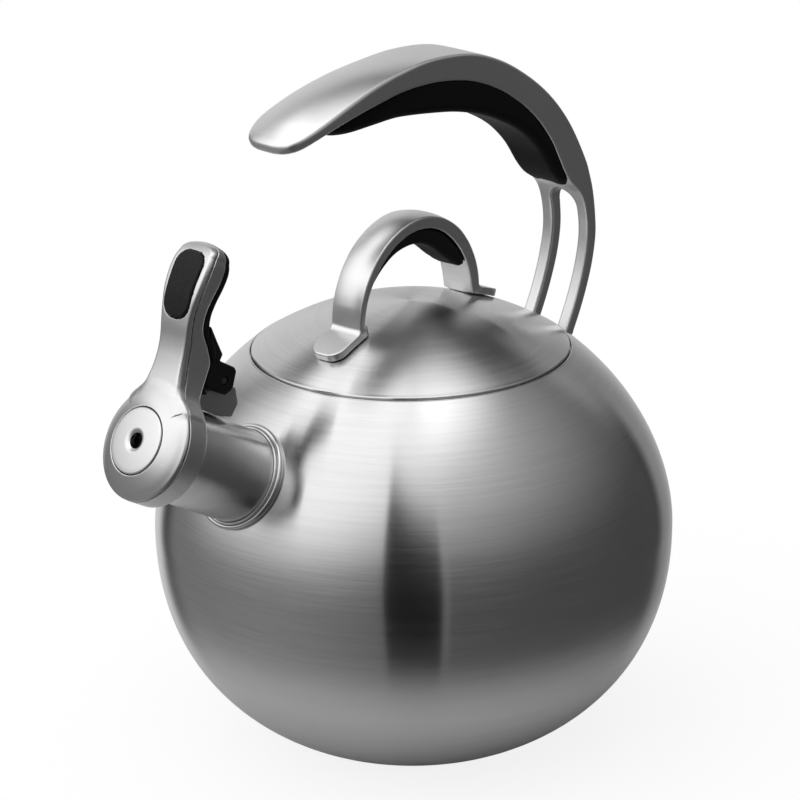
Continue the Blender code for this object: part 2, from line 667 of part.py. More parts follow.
def make_lid_handle(mats):
    turn = Matrix.Rotation(LID_TURN, 4, "Z")
    rows = [[a[0], a[1], b[0], b[1]] for a, b in LIDH_ARCH]
    rings = [strap_ring((ox, oz), (ix, iz), LIDH_HALF_W, crown=0.8)
             for ox, oz, ix, iz in sample(rows, 2)]
    handle = lofted("lid_handle", rings, mats["handle"], matrix=turn)
    # toes: round-ended tongues that lie along the dome, joined to the arch
    for sign, name in ((-1, "front"), (1, "rear")):
        n = 8
        rings = []
        x0, x1 = (28.6, TOE_END[-1]) if sign < 0 else (26.0, TOE_END[1])
        for k in range(n + 1):
            x = x0 + (x1 - x0) * (1 - (1 - k / n) ** 1.6)
            tail = x1 - x
            rnd = 6.0
            w = LIDH_HALF_W if tail > rnd else max(1.6, LIDH_HALF_W - rnd + math.sqrt(
                max(0.0, rnd ** 2 - (rnd - tail) ** 2)))
            n_x, n_z = x / LID_SPHERE, math.sqrt(1 - (x / LID_SPHERE) ** 2)
            t0, t1 = 0.35, 3.2
            ring = []
            for y, t in ((-w, t0), (w, t0), (w, t1 - 0.5), (w - 0.5, t1), (-w + 0.5, t1), (-w, t1 - 0.5)):
                # the tongue's underside is flat across, so it clears the crown
                drop = lid_z(math.hypot(x, 0.0)) + t * n_z
                ring.append((sign * (x + t * n_x), y, drop))
            if sign < 0:
                ring.reverse()
            rings.append(ring)
        toe = lofted("join_lid_toe_" + name, rings, None, matrix=turn)
        cut(handle, toe, "UNION")
        hole = turned("cut_toe_hole_" + name,
                      [(0.0, -3.0), (1.75, -3.0), (1.75, 2.5), (0.0, 2.5)],
                      None, segs=20, matrix=lid_foot_matrix(LIDH_SCREW[sign]))
        cut(handle, hole)
    # black insert under the arch: its own lower line is fuller towards the rear
    insert = [
        # along the arch: inner line of the metal, then depth of the insert, half width
        (-27.8, 170.6, 0.6, 6.6), (-25.6, 176.4, 1.3, 6.6), (-21.6, 182.4, 2.2, 6.5),
        (-15.6, 187.9, 3.2, 6.4), (-8.8, 191.4, 4.4, 6.3), (-1.6, 192.6, 5.4, 6.2),
        (5.6, 191.4, 6.2, 6.2), (12.4, 187.9, 6.6, 6.2), (18.0, 182.4, 6.2, 6.3),
        (21.8, 177.4, 4.4, 6.5), (23.4, 174.2, 2.4, 6.6),
    ]
    inner_curve = sample([[b[0], b[1]] for _, b in LIDH_ARCH], 8)
    rings = []
    for x, z, depth, w in sample([list(r) for r in insert], 2):
        near = min(range(len(inner_curve)),
                   key=lambda i: (inner_curve[i][0] - x) ** 2 + (inner_curve[i][1] - z) ** 2)
        near = max(1, min(len(inner_curve) - 2, near))
        bx, bz = inner_curve[near]
        tx = inner_curve[near + 1][0] - inner_curve[near - 1][0]
        tz = inner_curve[near + 1][1] - inner_curve[near - 1][1]
        t = math.hypot(tx, tz)
        nx, nz = tz / t, -tx / t                 # towards the inside of the arch
        g = GAP + 0.05
        ring = []
        for y, q in ((-w, g), (w, g), (w, g + depth * 0.35), (w * 0.8, g + depth * 0.8),
                     (w * 0.35, g + depth), (-w * 0.35, g + depth), (-w * 0.8, g + depth * 0.8),
                     (-w, g + depth * 0.35)):
            ring.append((bx + nx * q, y, bz + nz * q))
        rings.append(ring)
    grip = lofted("lid_handle_grip", rings, mats["rubber"], matrix=turn)
    screws = []
    for sign, name in ((-1, "front"), (1, "rear")):
        screws.append(turned("lid_screw_" + name,
                             [(0.0, -4.2), (3.0, -4.2), (3.4, -3.6), (3.4, -WALL - 0.6 - GAP),
                              (1.45, -WALL - 0.6 - GAP), (1.45, 1.9), (0.0, 1.9)],
                             mats["pin"], segs=16, matrix=lid_foot_matrix(LIDH_SCREW[sign])))
    return handle, grip, screws


# ------------------------------------------------------------ main handle
# Outer line (top of the strap at its edges), inner line (underside of the metal)
# and half width, from the free tip over the top and down to the feet.
HANDLE = [
    # outer x, z      inner x, z      half width, crown
    (-67.0, 235.3, -66.2, 233.0, 3.6, 0.5),
    (-66.2, 236.0, -65.2, 233.2, 7.4, 1.1),
    (-64.4, 236.9, -63.4, 233.8, 10.6, 1.9),
    (-61.0, 238.4, -60.1, 235.1, 13.0, 2.9),
    (-55.6, 240.9, -54.6, 237.5, 14.6, 3.7),
    (-48.0, 243.8, -46.8, 240.0, 15.0, 3.9),
    (-38.0, 247.3, -36.4, 242.4, 14.5, 3.4),
    (-26.4, 250.6, -24.4, 244.4, 13.4, 2.5),
    (-13.4, 253.2, -11.8, 246.0, 12.2, 1.3),
    (3.0, 255.0, 3.0, 246.2, 11.4, 0.3),
    (21.0, 253.7, 18.4, 244.2, 11.3, 0.1),
    (35.8, 248.8, 31.6, 239.7, 11.5, 0.2),
    (49.4, 240.7, 43.6, 232.6, 11.8, 0.6),
    (61.2, 230.9, 53.8, 223.9, 12.0, 0.8),
    (71.1, 218.9, 61.8, 213.6, 12.0, 1.0),
    (79.0, 204.6, 67.6, 202.4, 12.0, 1.0),
    (81.9, 196.8, 71.4, 196.6, 12.0, 0.9),
    (83.6, 190.0, 76.9, 190.6, 12.0, 0.8),
    (84.7, 181.4, 79.6, 183.0, 12.0, 0.7),
    (84.9, 173.4, 80.3, 174.0, 12.0, 0.6),
    (83.2, 163.6, 78.7, 164.6, 12.0, 0.6),
    (80.0, 153.6, 75.7, 155.0, 12.0, 0.5),
    (75.8, 143.8, 71.7, 145.6, 12.0, 0.5),
    (70.6, 133.8, 66.8, 136.2, 12.0, 0.5),
    (66.0, 126.0, 62.4, 128.6, 12.0, 0.5),
]


def handle_point(t):
    return spline([list(r) for r in HANDLE], t)


def handle_ring(row):
    ox, oz, ix, iz, w, crown = row
    d = math.hypot(ox - ix, oz - iz)
    nx, nz = (ox - ix) / d, (oz - iz) / d
    e = min(1.0, d * 0.3)
    pts = [(-w + e * 0.5, 0.0), (w - e * 0.5, 0.0), (w, e * 0.5), (w, d - e),
           (w - e * 0.7, d), (w * 0.62, d + crown * 0.62), (0.0, d + crown),
           (-w * 0.62, d + crown * 0.62), (-w + e * 0.7, d), (-w, d - e), (-w, e * 0.5)]
    return [(ix + nx * q, y, iz + nz * q) for y, q in pts]


def foot_matrix(side):
    """On the body under a leg, Z along the body's outward normal."""
    r_mid = 71.2
    z = body_z_above(r_mid)
    ang = math.asin(side * FOOT_Y / r_mid)
    nr, nz = body_normal(z)
    n = Vector((nr * math.cos(ang), nr * math.sin(ang), nz))
    u = Vector((0.0, 0.0, 1.0)).cross(n).normalized()
    v = n.cross(u)
    p = Vector((r_mid * math.cos(ang), r_mid * math.sin(ang), z)) * MM
    return Matrix(((u.x, v.x, n.x, p.x), (u.y, v.y, n.y, p.y), (u.z, v.z, n.z, p.z), (0, 0, 0, 1)))


def make_handle(mats):
    rows = []
    last = len(HANDLE) - 1
    for i in range(last):
        per = 1 if i < 3 else 2
        for k in range(per):
            rows.append(handle_point(i + k / per))
    rows.append(handle_point(last))
    rings = [handle_ring(row) for row in rows]
    handle = lofted("handle_frame", rings, mats["handle"])
    # gap between the legs, round at its top
    r = SLOT_HALF
    outline = [(-r, 110.0), (r, 110.0), (r, SLOT_TOP_Z - 4.2)]
    for k in range(1, 8):
        a = math.pi * k / 8
        outline.append((r * math.cos(a), SLOT_TOP_Z - 4.2 + 4.2 * math.sin(a)))
    outline.append((-r, SLOT_TOP_Z - 4.2))
    slot = lofted("cut_handle_slot", [[(x, y, z) for y, z in outline] for x in (40.0, 100.0)], None)
    cut(handle, slot)
    # the feet end on the body, a hair above its surface
    env = []
    for k in range(15):
        z = 100.0 + 50.0 * k / 14
        env.append((body_radius(z) + 0.42, z + 0.3))
    env = [(0.0, 100.3)] + env + [(0.0, env[-1][1])]
    trim = turned("cut_handle_body", env, None, segs=96)
    cut(handle, trim)
    for side, name in ((-1, "near"), (1, "far")):
        hole = turned("cut_leg_hole_" + name, [(0.0, -6.0), (1.75, -6.0), (1.75, 4.0), (0.0, 4.0)],
                      None, segs=20, matrix=foot_matrix(side))
        cut(handle, hole)
    return handle


# Grip under the strap: depth below the metal and half width against the
# position along the handle's own table.
GRIP = [
    (5.0, 2.6, 4.4), (5.25, 5.4, 7.2), (5.6, 6.8, 9.0), (6.1, 7.8, 10.2), (6.8, 8.6, 10.7),
    (7.6, 9.4, 10.8), (9.0, 11.2, 10.9), (10.4, 11.2, 11.0), (11.8, 9.2, 11.2), (13.0, 6.8, 11.3),
    (14.0, 5.0, 11.4), (14.8, 3.9, 11.4), (15.4, 3.4, 11.3), (15.9, 3.1, 10.6), (16.4, 2.2, 8.6),
]


def make_grip(mats):
    rings = []
    for t, depth, w in sample([list(r) for r in GRIP], 2):
        ox, oz, ix, iz = handle_point(t)[:4]
        d = math.hypot(ox - ix, oz - iz)
        nx, nz = (ix - ox) / d, (iz - oz) / d
        g = GAP + 0.1
        ring = []
        for y, q in ((-w, g), (w, g), (w, g + depth * 0.45), (w * 0.86, g + depth * 0.78),
                     (w * 0.5, g + depth * 0.97), (0.0, g + depth), (-w * 0.5, g + depth * 0.97),
                     (-w * 0.86, g + depth * 0.78), (-w, g + depth * 0.45)):
            ring.append((ix + nx * q, y, iz + nz * q))
        rings.append(ring)
    return lofted("handle_grip", rings, mats["rubber"])


def make_handle_screws(mats):
    out = []
    for side, name in ((-1, "near"), (1, "far")):
        m = foot_matrix(side)
        out.append(turned("handle_washer_" + name,
                          [(2.0, -WALL - GAP - 1.6), (4.6, -WALL - GAP - 1.6),
                           (4.6, -WALL - GAP - 0.3), (2.0, -WALL - GAP - 0.3)],
                          mats["silicone"], segs=16, matrix=m))
        out.append(turned("handle_screw_" + name,
                          [(0.0, -6.4), (3.2, -6.4), (4.0, -5.6), (4.0, -WALL - 2 * GAP - 1.7),
                           (1.45, -WALL - 2 * GAP - 1.7), (1.45, 3.6), (0.0, 3.6)],
                          mats["pin"], segs=16, matrix=m))
    return out


def main():
    clear_scene()
    mats = {
        "body": material("brushed_body", (0.60, 0.60, 0.61), 0.28, 1.0),
        "lid": material("brushed_lid", (0.62, 0.62, 0.63), 0.26, 1.0),
        "base": material("base_steel", (0.42, 0.42, 0.43), 0.40, 1.0),
        "spout": material("spout_steel", (0.60, 0.60, 0.61), 0.25, 1.0),
        "cap": material("satin_cap", (0.66, 0.66, 0.66), 0.38, 1.0),
        "cap_side": material("satin_cap_side", (0.45, 0.45, 0.46), 0.42, 1.0),
        "disc": material("satin_disc", (0.70, 0.70, 0.70), 0.34, 1.0),
        "handle": material("satin_handle", (0.66, 0.66, 0.67), 0.36, 1.0),
        "rubber": material("black_rubber", (0.02, 0.02, 0.022), 0.62, 0.0),
        "black": material("black_moulding", (0.018, 0.018, 0.018), 0.42, 0.0),
        "silicone": material("grey_silicone", (0.30, 0.30, 0.30), 0.6, 0.0),
        "pin": material("screw_steel", (0.55, 0.55, 0.56), 0.30, 1.0),
    }
    make_body(mats)
    make_base(mats)
    make_spout(mats)
    make_bracket(mats)
    make_pin(mats)
    make_spring(mats)
    make_cap(mats)
    make_pad(mats)
    make_cover(mats)
    make_whistle(mats)
    make_lid(mats)
    make_lid_handle(mats)
    make_handle(mats)
    make_grip(mats)
    make_handle_screws(mats)
    bpy.context.view_layer.update()


main()
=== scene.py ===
"""Looks of the stovetop whistling kettle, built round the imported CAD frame.

Every visible piece is a fine mesh worked out from the same dimensions as the
CAD part: spun pieces are turned profiles with eased edges, and the castings
and rubber parts are smooth closed surfaces of distance functions, so their
fillets and rounded rims are real geometry.  Lengths in the tables are in
millimetres, in the row frame: +Z up, spout along -X, handle rooted at +X.
"""
import math

import bmesh
import bpy
import numpy as np
from mathutils import Matrix, Vector


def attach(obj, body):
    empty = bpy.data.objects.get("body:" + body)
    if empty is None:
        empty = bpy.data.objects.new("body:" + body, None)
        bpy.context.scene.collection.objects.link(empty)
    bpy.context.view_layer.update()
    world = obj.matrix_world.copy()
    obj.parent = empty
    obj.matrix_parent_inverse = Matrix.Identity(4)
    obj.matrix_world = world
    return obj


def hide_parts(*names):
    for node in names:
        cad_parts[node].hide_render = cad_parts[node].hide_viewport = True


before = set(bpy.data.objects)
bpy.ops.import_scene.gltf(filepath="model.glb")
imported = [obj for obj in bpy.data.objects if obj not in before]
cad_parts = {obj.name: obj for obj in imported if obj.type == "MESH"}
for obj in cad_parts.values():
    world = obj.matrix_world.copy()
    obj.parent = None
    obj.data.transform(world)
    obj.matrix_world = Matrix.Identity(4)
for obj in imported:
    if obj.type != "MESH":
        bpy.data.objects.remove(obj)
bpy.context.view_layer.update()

MM = 0.001

# ---------------------------------------------------------------- dimensions
BODY_R, BODY_EQ_Z = 95.0, 80.8
BODY_UP, BODY_LOW = (87.98, 1.86), (86.45, 2.24)
WALL, BASE_H = 0.9, 3.0
SEAM_R, SEAM_Z, SEAT_Z = 57.67, 147.95, 145.2
NECK_R, NECK_Z = 53.2, 140.5
LID_RISE, LID_TURN = 17.05, math.radians(5.6)
SKIRT_R, SKIRT_Z, LID_PLATE_Z = 51.6, 138.6, 146.4
LIDH_HALF_W = 7.2
SPOUT_Z0, SPOUT_EL = 73.5, math.radians(29.5)
TUBE_R, TUBE_WALL, TUBE_S0, TUBE_S1, RING_R = 16.8, 0.9, 90.6, 134.5, 19.2
CAP_R, CAP_BACK_S, CAP_SEAM_S, CAP_FRONT_S = 20.15, 132.5, 141.1, 145.98
DISC_R, HOLE_R = 11.7, 2.8
PIN_S, PIN_H, PIN_R, PIN_HALF, BLOCK_HALF_Y = 123.4, 29.1, 1.25, 6.6, 7.0
SLOT_HALF, SLOT_TOP_Z, FOOT_Y = 6.4, 190.3, 9.2
D_SPOUT = (-math.cos(SPOUT_EL), math.sin(SPOUT_EL))
P_SPOUT = (math.sin(SPOUT_EL), math.cos(SPOUT_EL))
LID_SPHERE = (SEAM_R ** 2 + LID_RISE ** 2) / (2.0 * LID_RISE)

HANDLE = np.array([
    # outer x, z      inner x, z      half width, crown
    (-67.0, 235.3, -66.2, 233.0, 3.6, 0.5), (-66.2, 236.0, -65.2, 233.2, 7.4, 1.1),
    (-64.4, 236.9, -63.4, 233.8, 10.6, 1.9), (-61.0, 238.4, -60.1, 235.1, 13.0, 2.9),
    (-55.6, 240.9, -54.6, 237.5, 14.6, 3.7), (-48.0, 243.8, -46.8, 240.0, 15.0, 3.9),
    (-38.0, 247.3, -36.4, 242.4, 14.5, 3.4), (-26.4, 250.6, -24.4, 244.4, 13.4, 2.5),
    (-13.4, 253.2, -11.8, 246.0, 12.2, 1.3), (3.0, 255.0, 3.0, 246.2, 11.4, 0.3),
    (21.0, 253.7, 18.4, 244.2, 11.3, 0.1), (35.8, 248.8, 31.6, 239.7, 11.5, 0.2),
    (49.4, 240.7, 43.6, 232.6, 11.8, 0.6), (61.2, 230.9, 53.8, 223.9, 12.0, 0.8),
    (71.1, 218.9, 61.8, 213.6, 12.0, 1.0), (79.0, 204.6, 67.6, 202.4, 12.0, 1.0),
    (81.9, 196.8, 71.4, 196.6, 12.0, 0.9), (83.6, 190.0, 76.9, 190.6, 12.0, 0.8),
    (84.7, 181.4, 79.6, 183.0, 12.0, 0.7), (84.9, 173.4, 80.3, 174.0, 12.0, 0.6),
    (83.2, 163.6, 78.7, 164.6, 12.0, 0.6), (80.0, 153.6, 75.7, 155.0, 12.0, 0.5),
    (75.8, 143.8, 71.7, 145.6, 12.0, 0.5), (70.6, 133.8, 66.8, 136.2, 12.0, 0.5),
    (66.0, 126.0, 62.4, 128.6, 12.0, 0.5)])

GRIP = np.array([
    (5.0, 2.6, 4.4), (5.25, 5.4, 7.2), (5.6, 6.8, 9.0), (6.1, 7.8, 10.2), (6.8, 8.6, 10.7),
    (7.6, 9.4, 10.8), (9.0, 11.2, 10.9), (10.4, 11.2, 11.0), (11.8, 9.2, 11.2), (13.0, 6.8, 11.3),
    (14.0, 5.0, 11.4), (14.8, 3.9, 11.4), (15.4, 3.4, 11.3), (15.9, 3.1, 10.6), (16.4, 2.2, 8.6)])

LEVER = np.array([
    # h,    front, split, rear,  cover, half width
    (14.0, 144.2, 141.1, 134.0, 134.0, 14.0), (16.0, 144.3, 141.1, 133.5, 133.5, 12.2),
    (18.0, 144.3, 141.1, 133.2, 133.2, 10.2), (20.0, 144.3, 141.1, 132.8, 132.8, 9.1),
    (22.5, 144.4, 141.2, 132.4, 132.4, 8.3), (25.5, 144.6, 141.5, 132.1, 132.1, 7.7),
    (29.0, 145.0, 142.2, 132.0, 132.0, 7.35), (33.0, 145.7, 143.2, 132.4, 132.1, 7.2),
    (37.0, 146.8, 144.5, 135.5, 132.3, 7.3), (42.0, 148.6, 146.5, 140.6, 137.4, 7.6),
    (47.0, 150.0, 148.0, 142.7, 140.0, 8.2), (52.0, 150.9, 148.9, 143.3, 140.8, 9.0),
    (58.0, 151.2, 149.1, 142.8, 140.4, 9.5), (63.0, 150.9, 148.9, 142.6, 140.3, 9.4),
    (66.5, 150.2, 148.2, 142.9, 140.9, 8.4), (69.0, 149.0, 147.3, 143.5, 141.9, 6.4),
    (70.5, 147.6, 146.5, 144.4, 143.2, 3.2)])

LIDH_MID = -1.6
LIDH_HALF = [((32.7, 163.0), (28.6, 161.6)), ((32.1, 169.0), (27.5, 168.4)),
             ((30.2, 175.6), (25.5, 174.6)), ((26.5, 182.6), (22.0, 180.6)),
             ((20.9, 189.0), (17.0, 186.0)), ((13.4, 193.8), (11.0, 190.2)),
             ((4.5, 196.6), (3.7, 192.6))]
LIDH_THIN = (2.0, 2.1, 2.0, 1.7, 1.3, 0.7, 0.2)
LIDH_ARCH = np.array(
    [(LIDH_MID - ox, oz, LIDH_MID - ix - 0.93 * th, iz + 0.37 * th)
     for ((ox, oz), (ix, iz)), th in zip(LIDH_HALF, LIDH_THIN)]
    + [(LIDH_MID + a[0], a[1], LIDH_MID + b[0], b[1]) for a, b in reversed(LIDH_HALF)])
LIDH_SCREW = {-1: -40.0, 1: 36.6}
TOE_END = {-1: 46.2, 1: 42.6}
LIDH_INSERT = np.array([
    (-27.8, 170.6, 0.6, 6.6), (-25.6, 176.4, 1.3, 6.6), (-21.6, 182.4, 2.2, 6.5),
    (-15.6, 187.9, 3.2, 6.4), (-8.8, 191.4, 4.4, 6.3), (-1.6, 192.6, 5.4, 6.2),
    (5.6, 191.4, 6.2, 6.2), (12.4, 187.9, 6.6, 6.2), (18.0, 182.4, 6.2, 6.3),
    (21.8, 177.4, 4.4, 6.5), (23.4, 174.2, 2.4, 6.6)])
PAD = (43.2, 66.6, 7.0)


# ---------------------------------------------------------------- curve maths
def spline(rows, t):
    """Catmull-Rom through the rows of a table at positions t (array)."""
    rows = np.asarray(rows, float)
    t = np.atleast_1d(np.asarray(t, float))
    last = len(rows) - 1
    ext = np.vstack([2 * rows[0] - rows[1], rows, 2 * rows[-1] - rows[-2]])
    i = np.clip(t.astype(int), 0, last - 1)
    u = (t - i)[:, None]
    a, b, c, d = ext[i], ext[i + 1], ext[i + 2], ext[i + 3]
    return 0.5 * (2 * b + (c - a) * u + (2 * a - 5 * b + 4 * c - d) * u * u
                  + (3 * b - a - 3 * c + d) * u ** 3)


def dense(rows, n):
    return spline(rows, np.linspace(0, len(rows) - 1, n))


def smax(a, b, r):
    """Largest of two distances with a round edge of radius r."""
    if r <= 0:
        return np.maximum(a, b)
    u, v = np.maximum(r + a, 0), np.maximum(r + b, 0)
    return np.minimum(-r, np.maximum(a, b)) + np.sqrt(u * u + v * v)


def smin(a, b, r):
    """Smallest of two distances with a fillet of radius r."""
    return -smax(-a, -b, r)


def step01(x, lo, hi):
    t = np.clip((x - lo) / (hi - lo), 0, 1)
    return t * t * (3 - 2 * t)


def near_line(P, pts, closed=False, extend=False):
    """Signed distance to a polyline and the position along it in points.

    Positive on the left of the direction of travel."""
    pts = np.asarray(pts, float)
    n = len(pts)
    segs = n if closed else n - 1
    dist = np.empty(len(P))
    para = np.empty(len(P))
    sq = (pts ** 2).sum(1)
    for k in range(0, len(P), 60000):
        Q = P[k:k + 60000]
        i = np.argmin(sq[None, :] - 2 * Q @ pts.T, axis=1)
        best = np.full(len(Q), 1e18)
        bd, bt = np.zeros(len(Q)), np.zeros(len(Q))
        for off in (-1, 0):
            j = (i + off) % n if closed else np.clip(i + off, 0, segs - 1)
            a, b = pts[j], pts[(j + 1) % n]
            ab = b - a
            L2 = np.maximum((ab ** 2).sum(1), 1e-12)
            t = ((Q - a) * ab).sum(1) / L2
            lo = np.where((j == 0) & extend & (not closed), -1e9, 0.0)
            hi = np.where((j == segs - 1) & extend & (not closed), 1e9, 1.0)
            t = np.clip(t, lo, hi)
            d = Q - (a + ab * t[:, None])
            dd = (d ** 2).sum(1)
            side = ab[:, 0] * (Q[:, 1] - a[:, 1]) - ab[:, 1] * (Q[:, 0] - a[:, 0])
            m = dd < best - 1e-12
            best = np.where(m, dd, best)
            bd = np.where(m, np.sign(side) * np.sqrt(dd), bd)
            bt = np.where(m, j + t, bt)
        dist[k:k + 60000] = bd
        para[k:k + 60000] = bt
    return dist, para


def inside_poly(P, pts):
    """True for points within a closed polygon."""
    x, y = P[:, 0], P[:, 1]
    c = np.zeros(len(P), bool)
    n = len(pts)
    for i in range(n):
        x0, y0 = pts[i]
        x1, y1 = pts[(i + 1) % n]
        if y0 == y1:
            continue
        m = (y0 > y) != (y1 > y)
        if m.any():
            c[m] ^= x[m] < (x1 - x0) * (y[m] - y0) / (y1 - y0) + x0
    return c


def poly_distance(P, pts):
    """Distance to a closed outline, negative inside."""
    d, _ = near_line(P, pts, closed=True)
    d = np.abs(d)
    return np.where(inside_poly(P, pts), -d, d)


class Field:
    """Values on a fine 2-D grid, read back by smooth interpolation."""

    def __init__(self, lo, hi, pitch, fn):
        self.lo, self.pitch = np.array(lo, float), pitch
        n = np.ceil((np.array(hi) - self.lo) / pitch).astype(int) + 1
        xs = self.lo[0] + pitch * np.arange(n[0])
        ys = self.lo[1] + pitch * np.arange(n[1])
        X, Y = np.meshgrid(xs, ys, indexing="ij")
        vals = fn(np.column_stack([X.ravel(), Y.ravel()]))
        if not isinstance(vals, tuple):
            vals = (vals,)
        self.v = [np.ascontiguousarray(v.reshape(X.shape)) for v in vals]
        self.n = n

    def __call__(self, x, y):
        u = np.clip((x - self.lo[0]) / self.pitch, 0, self.n[0] - 1.001)
        v = np.clip((y - self.lo[1]) / self.pitch, 0, self.n[1] - 1.001)
        i, j = u.astype(int), v.astype(int)
        fu, fv = u - i, v - j
        out = []
        for a in self.v:
            out.append((a[i, j] * (1 - fu) + a[i + 1, j] * fu) * (1 - fv)
                       + (a[i, j + 1] * (1 - fu) + a[i + 1, j + 1] * fu) * fv)
        return out[0] if len(out) == 1 else out


def rounded(points, radius, steps=6):
    """Outline with each corner rounded; radius is one number or one a corner."""
    pts = [np.array(p, float) for p in points]
    n = len(pts)
    out = []
    for i, p in enumerate(pts):
        r = radius[i] if isinstance(radius, (list, tuple)) else radius
        a, b = pts[i - 1] - p, pts[(i + 1) % n] - p
        la, lb = np.linalg.norm(a), np.linalg.norm(b)
        a, b = a / la, b / lb
        ang = math.acos(max(-1, min(1, float(a @ b))))
        if r <= 0 or ang > math.pi - 0.02:
            out.append(tuple(p))
            continue
        d = min(r / math.tan(ang / 2), la * 0.49, lb * 0.49)
        rr = d * math.tan(ang / 2)
        bis = (a + b) / np.linalg.norm(a + b)
        c = p + bis * (rr / math.sin(ang / 2))
        s, e = p + a * d - c, p + b * d - c
        a0, a1 = math.atan2(s[1], s[0]), math.atan2(e[1], e[0])
        da = (a1 - a0 + math.pi) % (2 * math.pi) - math.pi
        for k in range(steps + 1):
            q = a0 + da * k / steps
            out.append((c[0] + rr * math.cos(q), c[1] + rr * math.sin(q)))
    return out


# ---------------------------------------------------------------- mesh making
def to_object(name, verts, faces, matrix=None, normals=None, sharp=None):
    """Object from millimetre points (array) and equal-length or mixed faces."""
    mesh = bpy.data.meshes.new(name)
    verts = np.asarray(verts, float) * MM
    if matrix is not None:
        turn = np.array(matrix)
        verts = verts @ turn[:3, :3].T + turn[:3, 3]
        if normals is not None:
            normals = np.asarray(normals) @ turn[:3, :3].T
    mesh.from_pydata(verts.tolist(), [], faces if isinstance(faces, list) else faces.tolist())
    mesh.validate()
    mesh.shade_smooth()
    if sharp is not None:
        mesh.set_sharp_from_angle(angle=math.radians(sharp))
    if normals is not None and len(normals) == len(mesh.vertices):
        mesh.normals_split_custom_set_from_vertices(normals.tolist())
    obj = bpy.data.objects.new(name, mesh)
    bpy.context.scene.collection.objects.link(obj)
    return obj


def own_axes(obj, matrix):
    """Turns the object's axes so that its brushing can follow them."""
    obj.data.transform(matrix.inverted())
    obj.matrix_world = matrix
    return obj


def isosurface(name, sdf, lo, hi, pitch, matrix=None, block=8, relax=2):
    """Closed quad mesh on the zero surface of sdf, which takes (N, 3) points."""
    lo = np.array(lo, float) - 2.5 * pitch
    hi = np.array(hi, float) + 2.5 * pitch
    nb = np.ceil(((hi - lo) / pitch + 1) / block).astype(int)
    n = nb * block
    bi = np.stack(np.meshgrid(*[np.arange(k) for k in nb], indexing="ij"), -1).reshape(-1, 3)
    centre = lo + (bi * block + (block - 1) / 2.0) * pitch
    cf = sdf(centre)
    F = np.repeat(np.repeat(np.repeat(
        (np.sign(cf) * 10 * pitch).reshape(nb).astype(np.float32),
        block, 0), block, 1), block, 2)
    keep = bi[np.abs(cf) < 1.7 * math.sqrt(3) * (block / 2 + 1) * pitch]
    off = np.stack(np.meshgrid(*[np.arange(block)] * 3, indexing="ij"), -1).reshape(-1, 3)
    F6 = F.reshape(nb[0], block, nb[1], block, nb[2], block)
    step = max(1, 300000 // block ** 3)
    for k in range(0, len(keep), step):
        b = keep[k:k + step]
        P = lo + (b[:, None, :] * block + off[None]).reshape(-1, 3) * pitch
        vals = sdf(P).astype(np.float32).reshape(len(b), block, block, block)
        F6[b[:, 0], :, b[:, 1], :, b[:, 2], :] = vals
    F[[0, -1]] = 10 * pitch
    F[:, [0, -1]] = 10 * pitch
    F[:, :, [0, -1]] = 10 * pitch
    S = F < 0
    total = sum(S[a:n[0] - 1 + a, b:n[1] - 1 + b, c:n[2] - 1 + c].astype(np.uint8)
                for a in (0, 1) for b in (0, 1) for c in (0, 1))
    active = (total > 0) & (total < 8)
    I = np.argwhere(active)
    ids = np.full(active.shape, -1, np.int64)
    ids[tuple(I.T)] = np.arange(len(I))
    acc, cnt = np.zeros((len(I), 3)), np.zeros(len(I))
    corners = [np.array(c) for c in np.ndindex(2, 2, 2)]
    for a in corners:
        for axis in range(3):
            if a[axis]:
                continue
            b = a.copy()
            b[axis] = 1
            fa, fb = F[tuple((I + a).T)], F[tuple((I + b).T)]
            m = (fa < 0) != (fb < 0)
            t = fa[m] / (fa[m] - fb[m])
            acc[m] += a + t[:, None] * (b - a)
            cnt[m] += 1
    V = lo + pitch * (I + acc / cnt[:, None])
    quads = []
    for axis in range(3):
        u, v = [(1, 2), (2, 0), (0, 1)][axis]
        sl0, sl1 = [slice(None)] * 3, [slice(None)] * 3
        sl0[axis], sl1[axis] = slice(0, -1), slice(1, None)
        A, B = S[tuple(sl0)], S[tuple(sl1)]
        E = np.argwhere(A != B)
        E = E[(E[:, u] > 0) & (E[:, v] > 0)]
        first = S[tuple(E.T)]
        du, dv = np.zeros(3, int), np.zeros(3, int)
        du[u], dv[v] = 1, 1
        q = np.stack([ids[tuple((E - du - dv).T)], ids[tuple((E - dv).T)],
                      ids[tuple(E.T)], ids[tuple((E - du).T)]], 1)
        q[~first] = q[~first][:, ::-1]
        quads.append(q)
    Q = np.concatenate(quads)
    Q = Q[(Q >= 0).all(1)]

    def gradient(P, h=0.06):
        g = np.empty_like(P)
        for k in range(3):
            d = np.zeros(3)
            d[k] = h
            g[:, k] = (sdf(P + d) - sdf(P - d)) / (2 * h)
        return g

    def onto(P):
        g = gradient(P)
        f = sdf(P)
        s = f / np.maximum((g ** 2).sum(1), 0.05)
        return P - g * np.clip(s, -pitch, pitch)[:, None]

    V = onto(onto(V))
    ea = np.concatenate([Q[:, 0], Q[:, 1], Q[:, 2], Q[:, 3]])
    eb = np.concatenate([Q[:, 1], Q[:, 2], Q[:, 3], Q[:, 0]])
    deg = np.bincount(ea, minlength=len(V)) + np.bincount(eb, minlength=len(V))
    for _ in range(relax):
        mean = np.empty_like(V)
        for k in range(3):
            mean[:, k] = (np.bincount(ea, V[eb, k], len(V)) + np.bincount(eb, V[ea, k], len(V))) / deg
        V = onto(V + 0.6 * (mean - V))
    N = gradient(V, 0.12)
    N /= np.maximum(np.linalg.norm(N, axis=1), 1e-9)[:, None]
    return to_object(name, V, Q, matrix, normals=N)


